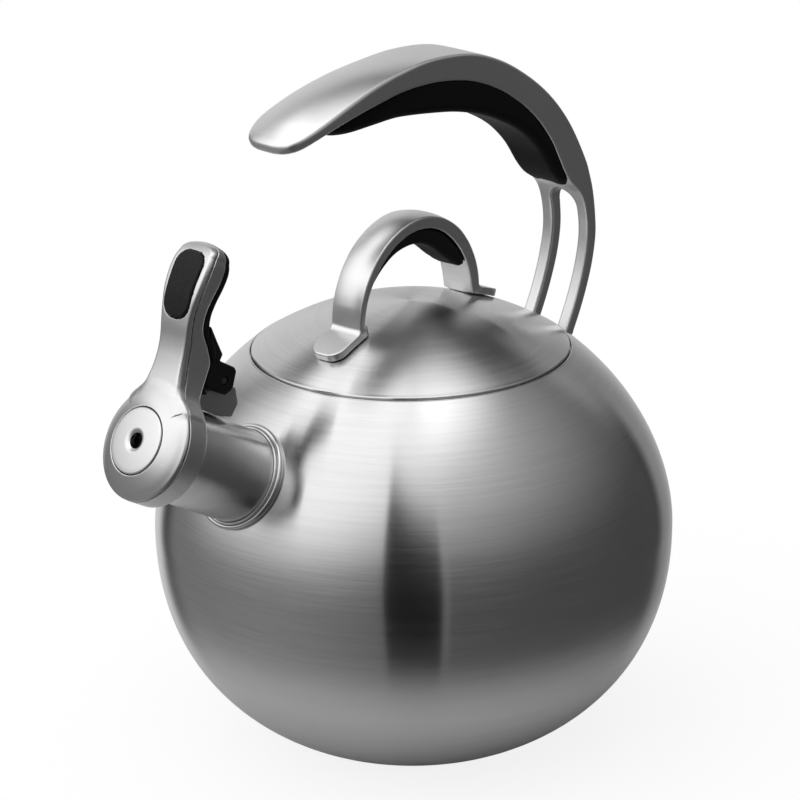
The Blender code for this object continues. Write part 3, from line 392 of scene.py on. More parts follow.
def lathe(name, profile, segs=192, matrix=None, along="Z", sharp=40.0):
    """Closed profile of (radius, height) points turned round an axis."""
    prof = np.asarray(profile, float)
    a = 2 * math.pi * np.arange(segs) / segs
    verts, rows = [], []
    for r, z in prof:
        if r < 1e-6:
            rows.append([len(verts)] * segs)
            verts.append((0.0, 0.0, z) if along == "Z" else (z, 0.0, 0.0))
            continue
        rows.append(list(range(len(verts), len(verts) + segs)))
        if along == "Z":
            verts.extend(zip(r * np.cos(a), r * np.sin(a), [z] * segs))
        else:
            verts.extend(zip([z] * segs, r * np.sin(a), r * np.cos(a)))
    closed = not (prof[0][0] < 1e-6 and prof[-1][0] < 1e-6)
    faces = []
    n = len(rows)
    for i in range(n if closed else n - 1):
        p, q = rows[i], rows[(i + 1) % n]
        flat_p, flat_q = p[0] == p[1], q[0] == q[1]
        for k in range(segs):
            m = (k + 1) % segs
            if flat_p and flat_q:
                continue
            if flat_p:
                faces.append((p[k], q[m], q[k]))
            elif flat_q:
                faces.append((p[k], p[m], q[k]))
            else:
                faces.append((p[k], p[m], q[m], q[k]))
    obj = to_object(name, verts, faces, matrix)
    outward(obj)
    obj.data.shade_smooth()
    obj.data.set_sharp_from_angle(angle=math.radians(sharp))
    return obj


def loft(name, rings, matrix=None, loop=False, sharp=40.0):
    """Rings of equal length joined in order."""
    R = np.asarray(rings, float)
    m, n = R.shape[:2]
    verts = R.reshape(-1, 3).tolist()
    faces = []
    for i in range(m if loop else m - 1):
        a, b = i * n, ((i + 1) % m) * n
        for k in range(n):
            faces.append((a + k, a + (k + 1) % n, b + (k + 1) % n, b + k))
    if not loop:
        for base, flip in ((0, False), ((m - 1) * n, True)):
            c = len(verts)
            verts.append(tuple(R[0 if base == 0 else -1].mean(0)))
            for k in range(n):
                faces.append((base + k, base + (k + 1) % n, c))
    obj = to_object(name, verts, faces, matrix)
    outward(obj)
    obj.data.shade_smooth()
    obj.data.set_sharp_from_angle(angle=math.radians(sharp))
    return obj


def outward(obj):
    bm = bmesh.new()
    bm.from_mesh(obj.data)
    bmesh.ops.recalc_face_normals(bm, faces=bm.faces)
    if bm.calc_volume(signed=True) < 0:
        bmesh.ops.reverse_faces(bm, faces=bm.faces)
    bm.to_mesh(obj.data)
    bm.free()


def cut(obj, cutter, mode="DIFFERENCE"):
    """Boolean, applied at once; the cutter goes away."""
    mod = obj.modifiers.new("cut", "BOOLEAN")
    mod.operation = mode
    mod.object = cutter
    mod.solver = "EXACT"
    dg = bpy.context.evaluated_depsgraph_get()
    made = bpy.data.meshes.new_from_object(obj.evaluated_get(dg))
    obj.modifiers.clear()
    old = obj.data
    obj.data = made
    made.name = obj.name
    bpy.data.meshes.remove(old)
    bpy.data.objects.remove(cutter)


def spout_matrix(s=0.0, h=0.0):
    dx, dz = D_SPOUT
    px, pz = P_SPOUT
    ox, oz = (s * dx + h * px) * MM, (SPOUT_Z0 + s * dz + h * pz) * MM
    return Matrix(((dx, 0, px, ox), (0, -1, 0, 0), (dz, 0, pz, oz), (0, 0, 0, 1)))


def body_radius(z):
    z = np.asarray(z, float)
    up = z >= BODY_EQ_Z
    t = np.where(up, (z - BODY_EQ_Z) / BODY_UP[0], (BODY_EQ_Z - z) / BODY_LOW[0])
    p = np.where(up, BODY_UP[1], BODY_LOW[1])
    return BODY_R * np.maximum(0, 1 - np.abs(t) ** p) ** (1 / p)


def body_normal(z):
    e = 0.05
    dr = (body_radius(z + e) - body_radius(z - e)) / (2 * e)
    n = np.hypot(1.0, dr)
    return 1.0 / n, -dr / n


def body_distance(P):
    """Nearly the distance to the body's outer surface, positive outside."""
    z = np.clip(P[:, 2], 5.0, 160.0)
    nr, nz = body_normal(z)
    d = (np.hypot(P[:, 0], P[:, 1]) - body_radius(z)) * nr
    return np.where(P[:, 2] > 156.0, np.maximum(d, P[:, 2] - 152.0), d)


def lid_z(r, offset=0.0):
    return SEAM_Z + LID_RISE - LID_SPHERE + np.sqrt((LID_SPHERE + offset) ** 2 - np.asarray(r) ** 2)


def body_surface_s(rho, phi):
    ly, lh = rho * np.sin(phi), rho * np.cos(phi)
    lo, hi = np.full(len(phi), 60.0), np.full(len(phi), 120.0)
    for _ in range(45):
        s = 0.5 * (lo + hi)
        x = s * D_SPOUT[0] + lh * P_SPOUT[0]
        z = SPOUT_Z0 + s * D_SPOUT[1] + lh * P_SPOUT[1]
        inside = np.hypot(x, ly) < body_radius(z)
        lo, hi = np.where(inside, s, lo), np.where(inside, hi, s)
    return lo


# ---------------------------------------------------------------- spun pieces
def build_body():
    floor_z = BASE_H + 0.12
    pts = [(0.0, floor_z), (float(body_radius(floor_z)) - 0.25, floor_z)]
    lo_a = 0.012
    for a in np.linspace(lo_a, math.pi / 2, 64):
        z = floor_z + (BODY_EQ_Z - floor_z) * math.sin(a)
        pts.append((float(body_radius(z)), z))
    lip = SEAM_R + 0.36
    top = 147.18
    for z in np.linspace(BODY_EQ_Z, top, 84)[1:]:
        pts.append((float(body_radius(z)), float(z)))
    # rolled lip round the lid's seat
    r_top = float(body_radius(top))
    c_r, c_z = 0.5 * (r_top + lip), top
    rr = 0.5 * (r_top - lip)
    for a in np.linspace(0.25, math.pi, 9):
        pts.append((c_r + rr * math.cos(a), c_z + rr * 0.9 * math.sin(a)))
    pts += [(lip, SEAT_Z + 0.25), (lip - 0.08, SEAT_Z + 0.06), (lip - 0.3, SEAT_Z),
            (NECK_R + 0.35, SEAT_Z), (NECK_R + 0.08, SEAT_Z - 0.1), (NECK_R, SEAT_Z - 0.4),
            (NECK_R, NECK_Z + 0.4), (NECK_R + 0.12, NECK_Z + 0.1), (NECK_R + 0.45, NECK_Z),
            (NECK_R + 0.78, NECK_Z + 0.1), (NECK_R + WALL, NECK_Z + 0.4),
            (NECK_R + WALL, SEAT_Z - WALL - 0.5), (NECK_R + WALL + 0.5, SEAT_Z - WALL),
            (lip + WALL, SEAT_Z - WALL)]
    z_hi, z_lo = 145.0, floor_z + WALL
    for u in np.linspace(0, 1, 60):
        z = z_hi + (z_lo - z_hi) * (0.5 - 0.5 * math.cos(math.pi * u) if u > 0.5 else u)
        nr = float(body_normal(z)[0])
        pts.append((float(body_radius(z)) - WALL / nr, z))
    pts.append((0.0, z_lo))
    body = lathe("kettle_body", pts, segs=224)
    hole = lathe("hole", [(0.0, 70.0), (TUBE_R + 0.3, 70.0), (TUBE_R + 0.3, 108.0), (0.0, 108.0)],
                 segs=96, matrix=spout_matrix(), along="X")
    cut(body, hole)
    # smooth normals of the true surface on the outer skin, so that the hole's
    # long faces under the collar don't show
    me = body.data
    co = np.empty(len(me.vertices) * 3)
    me.vertices.foreach_get("co", co)
    co = co.reshape(-1, 3) / MM
    r = np.hypot(co[:, 0], co[:, 1])
    zz = np.clip(co[:, 2], floor_z + 0.3, top)
    on = (np.abs(r - body_radius(zz)) < 0.03) & (co[:, 2] > floor_z + 0.5) & (co[:, 2] < top + 0.01)
    nr, nz = body_normal(zz)
    true = np.column_stack([nr * co[:, 0] / np.maximum(r, 1e-6), nr * co[:, 1] / np.maximum(r, 1e-6), nz])
    ln = np.empty(len(me.loops) * 3)
    me.corner_normals.foreach_get("vector", ln)
    ln = ln.reshape(-1, 3)
    lv = np.empty(len(me.loops), np.int32)
    me.loops.foreach_get("vertex_index", lv)
    start = np.empty(len(me.polygons), np.int32)
    me.polygons.foreach_get("loop_start", start)
    tot = np.empty(len(me.polygons), np.int32)
    me.polygons.foreach_get("loop_total", tot)
    fon = np.logical_and.reduceat(on[lv], start)
    m = np.repeat(fon, tot)
    ln[m] = true[lv[m]]
    me.normals_split_custom_set(ln.tolist())
    return body


def build_base():
    pts = [(0.0, 0.0), (30.0, 0.0)]
    r0 = float(body_radius(0.0))
    pts += [(r0 - 1.6, 0.0), (r0 - 0.9, 0.06), (r0 - 0.35, 0.25), (r0 + 0.1, 0.62)]
    for z in np.linspace(0.9, 2.85, 8):
        pts.append((float(body_radius(z)), float(z)))
    pts += [(float(body_radius(BASE_H)) - 0.12, BASE_H), (0.0, BASE_H)]
    return lathe("base_plate", pts, segs=192)


def build_tube():
    r_in = TUBE_R - TUBE_WALL
    pts = [(TUBE_R, TUBE_S0)]
    for s in np.linspace(TUBE_S0 + 2, TUBE_S1 - 0.45, 20):
        pts.append((TUBE_R, float(s)))
    for a in np.linspace(0, math.pi, 9)[1:-1]:
        pts.append((TUBE_R - 0.45 + 0.45 * math.cos(a), TUBE_S1 - 0.45 + 0.45 * math.sin(a)))
    pts += [(r_in, TUBE_S1 - 0.45), (r_in, 112.0), (r_in, TUBE_S0)]
    return lathe("spout_pipe", pts, segs=192, matrix=spout_matrix(), along="X")


def build_collar():
    """Weld collar: an inner bead on the tube, a groove and a rounded outer bead."""
    phi = 2 * math.pi * np.arange(224) / 224
    low_in = body_surface_s(TUBE_R + 0.12, phi)
    low_out = body_surface_s(RING_R, phi)
    section = []      # (radius, share of the way from inner foot to outer foot, lift)
    for a in np.linspace(-0.15 * math.pi, 0.98 * math.pi, 12):       # outer bead
        section.append((RING_R - 0.78 + 0.78 * math.cos(a), 1.25 + 0.95 * math.sin(a)))
    for a in np.linspace(0.05 * math.pi, 1.0 * math.pi, 9):          # inner bead
        section.append((TUBE_R + 0.48 + 0.44 * math.cos(a), 2.05 + 0.62 * math.sin(a)))
    section = ([(RING_R - 0.35, 0.08), (RING_R - 0.12, 0.45)] + section
               + [(TUBE_R + 0.04, 1.2), (TUBE_R + 0.04, 0.08)])
    rings = []
    for k, p in enumerate(phi):
        c, s = math.cos(p), math.sin(p)
        ring = []
        for r, lift in section:
            t = (r - TUBE_R - 0.12) / (RING_R - TUBE_R - 0.12)
            base = low_in[k] + (low_out[k] - low_in[k]) * t
            ring.append((base + lift, r * s, r * c))
        rings.append(ring)
    return loft("spout_weld_ring", rings, matrix=spout_matrix(), loop=True, sharp=60)


def build_lid():
    turn = Matrix.Rotation(LID_TURN, 4, "Z")
    edge = SEAM_R - 0.14
    pts = []
    for r in np.concatenate([[0.0, 0.25, 0.6, 1.1, 1.8], np.linspace(2.8, edge - 0.7, 64)]):
        pts.append((float(r), float(lid_z(r))))
    c_r, c_z = edge - 0.62, float(lid_z(edge - 0.62)) - 0.72
    for a in np.linspace(math.radians(52), 0, 8):
        pts.append((c_r + 0.62 * math.cos(a), c_z + 0.72 * math.sin(a)))
    pts += [(edge, SEAT_Z + 0.32), (edge - 0.1, SEAT_Z + 0.22), (edge - 0.9, SEAT_Z + 0.22),
            (edge - 1.0, SEAT_Z + 0.4)]
    for r in np.linspace(edge - 1.06, 0.4, 36):
        pts.append((float(r), float(lid_z(r, -WALL))))
    pts.append((0.0, float(lid_z(0.0, -WALL))))
    dome = lathe("lid_cover", pts, segs=224, matrix=turn)
    p = LID_PLATE_Z
    pan = lathe("lid_underpan", rounded(
        [(0.0, p), (edge - 1.4, p), (edge - 1.4, p - 0.8), (SKIRT_R, p - 0.8), (SKIRT_R, SKIRT_Z),
         (SKIRT_R - 0.8, SKIRT_Z), (SKIRT_R - 0.8, p - 0.8), (0.0, p - 0.8)],
        [0, 0.15, 0.15, 0.0, 0.3, 0.3, 0.7, 0], 5), segs=160, matrix=turn)
    fins = [(SKIRT_R + 0.05, 139.9), (SKIRT_R + 0.7, 139.7), (NECK_R - 0.38, 140.15),
            (NECK_R - 0.3, 140.45), (NECK_R - 0.7, 140.85), (SKIRT_R + 0.75, 141.1),
            (NECK_R - 0.38, 141.75), (NECK_R - 0.3, 142.1), (NECK_R - 0.7, 142.5),
            (SKIRT_R + 0.75, 142.7), (SKIRT_R + 0.6, 143.6), (SKIRT_R + 0.05, 143.8)]
    seal = lathe("lid_gasket", rounded(fins, 0.16, 4), segs=160, matrix=turn, sharp=50)
    return dome, pan, seal


def build_whistle():
    m = spout_matrix()
    s = CAP_FRONT_S
    pts = [(HOLE_R, s - 1.4), (DISC_R - 0.2, s - 1.4), (DISC_R, s - 1.2), (DISC_R, s - 0.12)]
    for a in np.linspace(0.05, math.pi / 2, 7):
        pts.append((DISC_R - 0.6 + 0.6 * math.cos(a), s - 0.12 + 0.55 * math.sin(a)))
    for r in np.linspace(DISC_R - 1.4, HOLE_R + 1.7, 16):
        u = r / DISC_R
        pts.append((float(r), s + 0.43 + 0.62 * (1 - u * u)))
    top = s + 0.43 + 0.62 * (1 - ((HOLE_R + 1.7) / DISC_R) ** 2)
    for q in np.linspace(0.2, 1.0, 6):                    # dimple down into the hole
        r = HOLE_R + 1.7 * (1 - q)
        pts.append((r + 0.02, top - 0.75 * q * q))
    disc = lathe("whistle_plate", pts, segs=160, matrix=m, along="X", sharp=50)
    trim = DISC_R - 0.15
    cup = lathe("whistle_cup", rounded(
        [(1.6, 139.2), (trim, 139.2), (trim, s - 1.7), (9.8, s - 1.7), (9.0, 140.2), (1.6, 140.2)],
        [0.1, 0.3, 0.2, 0.2, 0.5, 0.1], 4), segs=120, matrix=m, along="X")
    seal = lathe("mouth_gasket", rounded(
        [(12.9, TUBE_S1 + 0.3), (17.2, TUBE_S1 + 0.3), (17.2, 137.4), (12.9, 137.4)],
        [0.5, 0.5, 0.3, 0.3], 5), segs=120, matrix=m, along="X")
    return disc, cup, seal


def pin_matrix():
    return spout_matrix(PIN_S, PIN_H) @ Matrix.Rotation(math.pi / 2, 4, "X")


def build_pin():
    z = PIN_HALF
    pts = rounded([(0.0, -z), (PIN_R, -z), (PIN_R, z), (0.0, z)], [0, 0.3, 0.3, 0], 5)
    return lathe("hinge_rivet", pts, segs=48, matrix=pin_matrix())


def build_spring():
    wire, coil, turns, half = 0.38, 2.15, 3.5, 1.9
    steps = 260
    start, total = math.radians(-100.0), turns * 2 * math.pi
    path = []
    for k in range(10, 0, -1):
        q = 3.0 * k / 10
        path.append((coil * math.cos(start) + q * math.sin(start),
                     coil * math.sin(start) - q * math.cos(start), -half))
    for k in range(steps + 1):
        a = start + total * k / steps
        path.append((coil * math.cos(a), coil * math.sin(a), -half + 2 * half * k / steps))
    end = start + total
    for k in range(1, 9):
        q = 2.4 * k / 8
        path.append((coil * math.cos(end) - q * math.sin(end),
                     coil * math.sin(end) + q * math.cos(end), half))
    rings = []
    for i, p in enumerate(path):
        a, b = Vector(path[max(0, i - 1)]), Vector(path[min(len(path) - 1, i + 1)])
        tan = (b - a).normalized()
        side = tan.cross(Vector((0, 0, 1))).normalized()
        up = side.cross(tan).normalized()
        w = wire * (0.86 if i in (0, len(path) - 1) else 1.0)
        rings.append([tuple(Vector(p) + w * (math.cos(q) * side + math.sin(q) * up))
                      for q in (2 * math.pi * j / 14 for j in range(14))])
    return loft("pin_spring", rings, matrix=pin_matrix(), sharp=50)


# ---------------------------------------------------------------- main handle
H_ROWS = dense(HANDLE, 1200)
H_OUT, H_IN = H_ROWS[:, 0:2], H_ROWS[:, 2:4]
H_MID = 0.5 * (H_OUT + H_IN)
H_ARC = np.concatenate([[0], np.cumsum(np.linalg.norm(np.diff(H_MID, axis=0), axis=1))])


def strap_fields(lo, hi, pitch, out, inn, mid, arc, width, crown):
    """Distances to the outer and inner line, arc length and crown on a grid."""
    def fn(P):
        d_out, _ = near_line(P, out, extend=True)
        d_in, _ = near_line(P, inn, extend=True)
        _, t = near_line(P, mid, extend=True)
        tc = np.clip(t, 0, len(mid) - 1)
        a = np.interp(tc, np.arange(len(arc)), arc)
        step = np.diff(arc)
        a = a + np.where(t < 0, t * step[0], 0) + np.where(t > len(mid) - 1, (t - len(mid) + 1) * step[-1], 0)
        return d_out, d_in, a, np.interp(a, arc, width), np.interp(a, arc, crown)
    return Field(lo, hi, pitch, fn)


def build_handle():
    w, crown = H_ROWS[:, 4], H_ROWS[:, 5]
    F = strap_fields((-72, 118), (90, 260), 0.4, H_OUT, H_IN, H_MID, H_ARC, w, crown)
    # plan outline (arc length, half width), closed at the tip
    plan = np.column_stack([H_ARC, w])
    tip = [(-0.02, 0.0), (0.0, 2.2)]
    upper = np.vstack([tip, plan[4:], [(H_ARC[-1] + 20, w[-1])]])
    outline = np.vstack([upper, upper[::-1] * (1, -1)])
    S = Field((-6, -1), (H_ARC[-1] + 10, 26), 0.3,
              lambda P: poly_distance(P, outline[::2]))

    def sdf(P):
        y = np.abs(P[:, 1])
        d_out, d_in, arc, ww, cr = F(P[:, 0], P[:, 2])
        side = S(arc, y)
        u = np.clip(y / np.maximum(ww, 3.0), 0, 1.2)
        d_out = d_out + 0.03 - cr * np.clip(1 - u ** 2.2, 0, 1)
        # the paddle is dished a little beneath, and every rim is eased
        slab = smax(d_out, -d_in, 0.85)
        f = smax(slab, side, 1.05)
        # slot between the legs, round at the top
        z = P[:, 2]
        zc = SLOT_TOP_Z - SLOT_HALF
        slot = np.where(z > zc, np.hypot(y, (z - zc) * 1.0) - SLOT_HALF, y - SLOT_HALF)
        slot = np.maximum(slot, 60.0 - P[:, 0])
        f = smax(f, -slot, 1.15)
        return smax(f, 0.14 - body_distance(P), 0.25)

    return isosurface("handle_casting", sdf, (-68.5, -15.5, 128.0), (86.0, 15.5, 256.0), 0.5)


def build_grip():
    t = np.linspace(GRIP[0, 0], GRIP[-1, 0], 500)
    table = dense(GRIP, 500)
    t, depth, w = table[:, 0], table[:, 1], table[:, 2]
    rows = spline(HANDLE, t)
    inn = rows[:, 2:4]
    rib = rows[:, 2:4] - rows[:, 0:2]
    rib /= np.linalg.norm(rib, axis=1)[:, None]
    low = inn + rib * (0.12 + depth)[:, None]
    top = inn + rib * 0.12
    side = np.vstack([top, low[::-1]])
    arc = np.concatenate([[0], np.cumsum(np.linalg.norm(np.diff(inn, axis=0), axis=1))])

    def fn(P):
        d = poly_distance(P, np.vstack([top[::3], low[::-3]]))
        _, k = near_line(P, inn, extend=True)
        a = np.interp(np.clip(k, 0, len(arc) - 1), np.arange(len(arc)), arc)
        a = a + np.where(k < 0, k * 0.3, 0) + np.where(k > len(arc) - 1, (k - len(arc) + 1) * 0.3, 0)
        d_top, _ = near_line(P, top, extend=True)
        d_low, _ = near_line(P, low, extend=True)
        return d, a, d_top, d_low
    F = Field((-64, 180), (90, 256), 0.4, fn)
    upper = np.vstack([[(0.0, 0.0)], np.column_stack([arc, w]), [(arc[-1], 0.0)]])
    outline = np.vstack([upper, (upper[::-1] * (1, -1))[1:-1]])
    S = Field((-8, -1), (arc[-1] + 8, 16), 0.3, lambda P: poly_distance(P, outline[::2]))

    def sdf(P):
        y = np.abs(P[:, 1])
        d, a, d_top, d_low = F(P[:, 0], P[:, 2])
        s = S(a, y)
        # wide rounding along the lower edges, a small one against the metal
        f = smax(s, -d_low, 3.6)
        f = np.maximum(f, d - 0.15)
        return smax(f, d_top, 0.3)

    return isosurface("handle_rubber", sdf, (-60.0, -12.0, 184.0), (86.0, 12.0, 250.0), 0.5)


# ---------------------------------------------------------------- lid handle
def build_lid_handle():
    turn = Matrix.Rotation(LID_TURN, 4, "Z")
    rows = dense(LIDH_ARCH, 700)
    out, inn = rows[:, 0:2], rows[:, 2:4]
    mid = 0.5 * (out + inn)
    arc = np.concatenate([[0], np.cumsum(np.linalg.norm(np.diff(mid, axis=0), axis=1))])
    F = strap_fields((-52, 148), (48, 202), 0.3, out, inn, mid, arc,
                     np.full(len(arc), LIDH_HALF_W), np.full(len(arc), 0.85))

    def toe(P, sign):
        """Round-ended tongue that lies along the dome under one leg."""
        rr = np.hypot(P[:, 0], P[:, 2] - (SEAM_Z + LID_RISE - LID_SPHERE))
        t = rr - LID_SPHERE
        x0, x1, rad = 27.0, TOE_END[sign], 5.6
        qx = np.abs(P[:, 0] * sign * LID_SPHERE / rr - 0.5 * (x0 + x1)) - 0.5 * (x1 - x0) + rad
        qy = np.abs(P[:, 1]) - LIDH_HALF_W + rad
        plan = np.minimum(np.maximum(qx, qy), 0) + np.hypot(np.maximum(qx, 0), np.maximum(qy, 0)) - rad
        return smax(smax(t - 3.15, plan, 0.55), 0.3 - t, 0.2)

    def sdf(P):
        y = np.abs(P[:, 1])
        d_out, d_in, a, ww, cr = F(P[:, 0], P[:, 2])
        u = np.clip(y / LIDH_HALF_W, 0, 1.2)
        d_out = d_out - cr * np.clip(1 - u ** 2, 0, 1) * step01(P[:, 2], 164.0, 172.0) \
            - 0.25 * np.clip(1 - u ** 2, 0, 1)
        strap = smax(smax(d_out, -d_in, 0.7), y - LIDH_HALF_W, 0.8)
        ends = np.maximum(-a, a - arc[-1])
        strap = np.maximum(strap, ends)
        f = smin(smin(strap, toe(P, -1), 1.6), toe(P, 1), 1.6)
        f = smax(f, y - LIDH_HALF_W, 0.7)
        # clear of the crown of the dome
        rr = np.sqrt(P[:, 0] ** 2 + P[:, 1] ** 2 + (P[:, 2] - (SEAM_Z + LID_RISE - LID_SPHERE)) ** 2)
        return smax(f, 0.22 - (rr - LID_SPHERE), 0.15)

    handle = isosurface("lid_handle_casting", sdf, (-47.5, -7.9, 150.0), (44.5, 7.9, 198.5), 0.34,
                        matrix=turn)

    # rubber insert under the arch
    ins = dense(LIDH_INSERT, 300)
    curve = dense(LIDH_ARCH, 2000)[:, 2:4]
    base = ins[:, 0:2]
    _, k = near_line(base, curve)
    k = np.clip(k.astype(int), 1, len(curve) - 2)
    tan = curve[k + 1] - curve[k - 1]
    tan /= np.linalg.norm(tan, axis=1)[:, None]
    nrm = np.column_stack([tan[:, 1], -tan[:, 0]])
    p0 = curve[k] + nrm * 0.12
    p1 = curve[k] + nrm * (0.12 + ins[:, 2:3])

    def fn(P):
        d = poly_distance(P, np.vstack([p0[::2], p1[::-2]]))
        dl, _ = near_line(P, p1, extend=True)
        return d, dl
    G = Field((-36, 160), (34, 200), 0.25, fn)

    def sdf2(P):
        y = np.abs(P[:, 1])
        d, dl = G(P[:, 0], P[:, 2])
        return smax(d, y - 6.5, 2.2)

    grip = isosurface("lid_handle_insert", sdf2, (-30.0, -7.0, 168.0), (27.0, 7.0, 194.5), 0.34,
                      matrix=turn)
    return handle, grip


# ---------------------------------------------------------------- whistle cap
L_ROWS = dense(LEVER, 400)


def lever_side(lo, hi):
    """Closed (s, h) outline between two columns of the lever's table."""
    a = np.column_stack([L_ROWS[:, lo], L_ROWS[:, 0]])
    b = np.column_stack([L_ROWS[:, hi], L_ROWS[:, 0]])
    return a, b


def lever_plan(shrink=0.0, h_from=6.0):
    """Closed (h, y) outline of the lever seen from the front, round-topped."""
    h = L_ROWS[:, 0]
    w = np.maximum(L_ROWS[:, 5] - shrink, 0.5)
    keep = h < 66.0
    hh, ww = h[keep], w[keep]
    top, w_top, h_top = 70.75, ww[-1], hh[-1]
    a = np.linspace(0, math.pi / 2, 24)[1:]
    # superelliptic crown
    ch = h_top + (top - shrink * 0.5 - h_top) * np.sin(a) ** 0.86
    cw = w_top * np.cos(a) ** 0.86
    hh, ww = np.concatenate([[h_from], hh, ch]), np.concatenate([[h_from], ww, cw])
    up = np.column_stack([hh, ww])
    return np.vstack([up, (up[::-1] * (1, -1))[1:]])


def lever_fields(back_col, front_col, shrink=0.0, back_off=0.0, front_off=0.0):
    h = L_ROWS[:, 0]
    b = np.column_stack([L_ROWS[:, back_col] + back_off, h])
    f = np.column_stack([L_ROWS[:, front_col] + front_off, h])
    S = Field((120, 0), (160, 76), 0.25,
              lambda P: (near_line(P, b, extend=True)[0], near_line(P, f, extend=True)[0]))
    W = Field((0, -1), (76, 18), 0.25, lambda P: poly_distance(P, lever_plan(shrink)[::2]))
    return S, W


def build_cap():
    m = spout_matrix()
    # front shell -----------------------------------------------------------
    S, W = lever_fields(2, 1, 0.0, 0.12, 0.0)
    face = dense([(CAP_R - 0.02, CAP_SEAM_S - 0.4), (CAP_R - 0.05, CAP_SEAM_S + 0.2),
                  (CAP_R - 0.40, CAP_SEAM_S + 0.95), (CAP_R - 1.45, CAP_SEAM_S + 1.65),
                  (CAP_R - 3.15, CAP_SEAM_S + 2.7), (CAP_R - 5.25, CAP_SEAM_S + 3.75),
                  (DISC_R + 0.6, CAP_FRONT_S), (DISC_R - 1.0, CAP_FRONT_S + 0.5)], 90)
    prof = np.vstack([[(0.0, CAP_SEAM_S - 0.4)], face, [(0.0, CAP_FRONT_S + 0.5)]])
    D = Field((0, 136), (26, 152), 0.15, lambda P: poly_distance(P, prof))
    PADW = pad_plan(0.22)
    PF = Field((38, -1), (72, 12), 0.2, lambda P: poly_distance(P, PADW))

    def shell(P):
        s, y, h = P[:, 0], np.abs(P[:, 1]), P[:, 2]
        r = np.hypot(P[:, 1], h)
        dome = D(r, s)
        back, front = S(s, h)
        plan = W(h, y)
        bow = 0.35 * np.clip(1 - (y / 9.0) ** 2, 0, 1)
        recede = 0.35 * np.clip(18.0 - h, 0, 12)
        face_d = front_out(front) - bow + recede
        low = np.clip((22.0 - h) / 8.0, 0, 1)
        strap = smax(face_d, plan, 1.55) * (1 - low) + smax(face_d, plan, 3.8) * low
        strap = np.maximum(strap, 7.0 - h)
        f = smin(dome, strap, 4.0)
        # parting line: dome and lever end together on the split
        f = smax(f, back_out(back), 0.18)
        f = smax(f, DISC_R + 0.28 - r, 0.35)
        # recess for the finger pad
        pad = np.maximum(PF(h, y), -front_out(front) - 0.9)
        return smax(f, -pad, 0.12)

    def front_out(d):      # positive in front of the front line
        return -d

    def back_out(d):       # positive behind the back line
        return d

    shell_obj = isosurface("cap_front_casting", shell, (140.5, -20.4, -20.4), (152.5, 20.4, 71.2), 0.36,
                           matrix=m)

    # rear casting ----------------------------------------------------------
    S2, W2 = lever_fields(3, 2, 0.0, 0.0, -0.12)

    def rear(P):
        s, y, h = P[:, 0], np.abs(P[:, 1]), P[:, 2]
        r = np.hypot(P[:, 1], h)
        ring = smax(r - CAP_R, CAP_BACK_S - s, 0.7)
        back, front = S2(s, h)
        plan = W2(h, y)
        strap = smax(back_out(back), plan, 1.3)
        strap = np.maximum(strap, 10.0 - h)
        f = smin(ring, strap, 2.2)
        f = smax(f, front_out(front) + 0.22, 0.28)
        hollow = np.maximum(r - 17.6, s - 137.7)
        mouth = np.maximum(r - 12.6, 136.0 - s)
        f = smax(f, -hollow, 0.3)
        f = smax(f, -mouth, 0.25)
        return np.maximum(f, s - 152.0)

    rear_obj = isosurface("cap_rear_casting", rear, (131.8, -20.4, -20.4), (150.0, 20.4, 71.2), 0.36,
                          matrix=m)

    # black moulding behind the lever, with the hinge block -------------------
    S3, W3 = lever_fields(4, 3, 0.45, 0.0, -0.12)
    outline = np.array(rounded([(130.5, 24.3), (131.4, 26.0), (131.6, 30.0), (132.0, 33.2),
                                (133.9, 36.2), (138.3, 44.6), (137.6, 44.4), (132.6, 40.4),
                                (128.5, 37.3), (128.7, 34.9), (121.2, 34.6), (119.9, 33.6),
                                (118.7, 28.0), (119.2, 26.6), (120.9, 24.6)],
                               [0.5, 0.5, 1, 1, 1, 0.3, 0.8, 0.8, 0.6, 0.3, 1.3, 0.8, 1.0, 0.6, 1.2], 5))
    B = Field((112, 18), (142, 46), 0.15, lambda P: poly_distance(P, outline))
    pocket = np.array(rounded([(110.0, 12.0), (129.6, 12.0), (129.6, 29.8), (127.4, 32.7), (110.0, 32.7)],
                              [0, 0, 0.6, 0.6, 0], 4))
    K = Field((112, 10), (142, 46), 0.2, lambda P: poly_distance(P, pocket))

    def cover(P):
        s, y, h = P[:, 0], np.abs(P[:, 1]), P[:, 2]
        back, front = S3(s, h)
        plan = W3(h, y)
        strip = smax(smax(back_out(back), plan, 0.9), front_out(front), 0.15)
        strip = np.maximum(strip, 35.2 - h)
        block = smax(B(s, h), y - BLOCK_HALF_Y, 0.7)
        f = smin(strip, block, 0.8)
        f = smax(f, front_out(front), 0.1)
        f = smax(f, -np.maximum(K(s, h), y - 4.95), 0.2)
        bore = np.hypot(s - PIN_S, h - PIN_H) - (PIN_R + 0.22)
        return smax(f, -bore, 0.15)

    cover_obj = isosurface("lever_back_moulding", cover, (118.0, -10.0, 23.8), (149.5, 10.0, 70.9), 0.32,
                           matrix=m)

    # finger pad --------------------------------------------------------------
    PG = Field((38, -1), (72, 12), 0.2, lambda P: poly_distance(P, pad_plan(0.0)))

    def pad(P):
        s, y, h = P[:, 0], np.abs(P[:, 1]), P[:, 2]
        _, front = S(s, h)
        out = front_out(front)
        crown = 0.28 * np.clip(1 - (y / 7.0) ** 2, 0, 1)
        f = smax(PG(h, y), out - 0.72 - crown, 0.75)
        return smax(f, -0.55 - out, 0.1)

    pad_obj = isosurface("finger_pad", pad, (143.5, -7.4, 42.6), (153.0, 7.4, 67.2), 0.3, matrix=m)

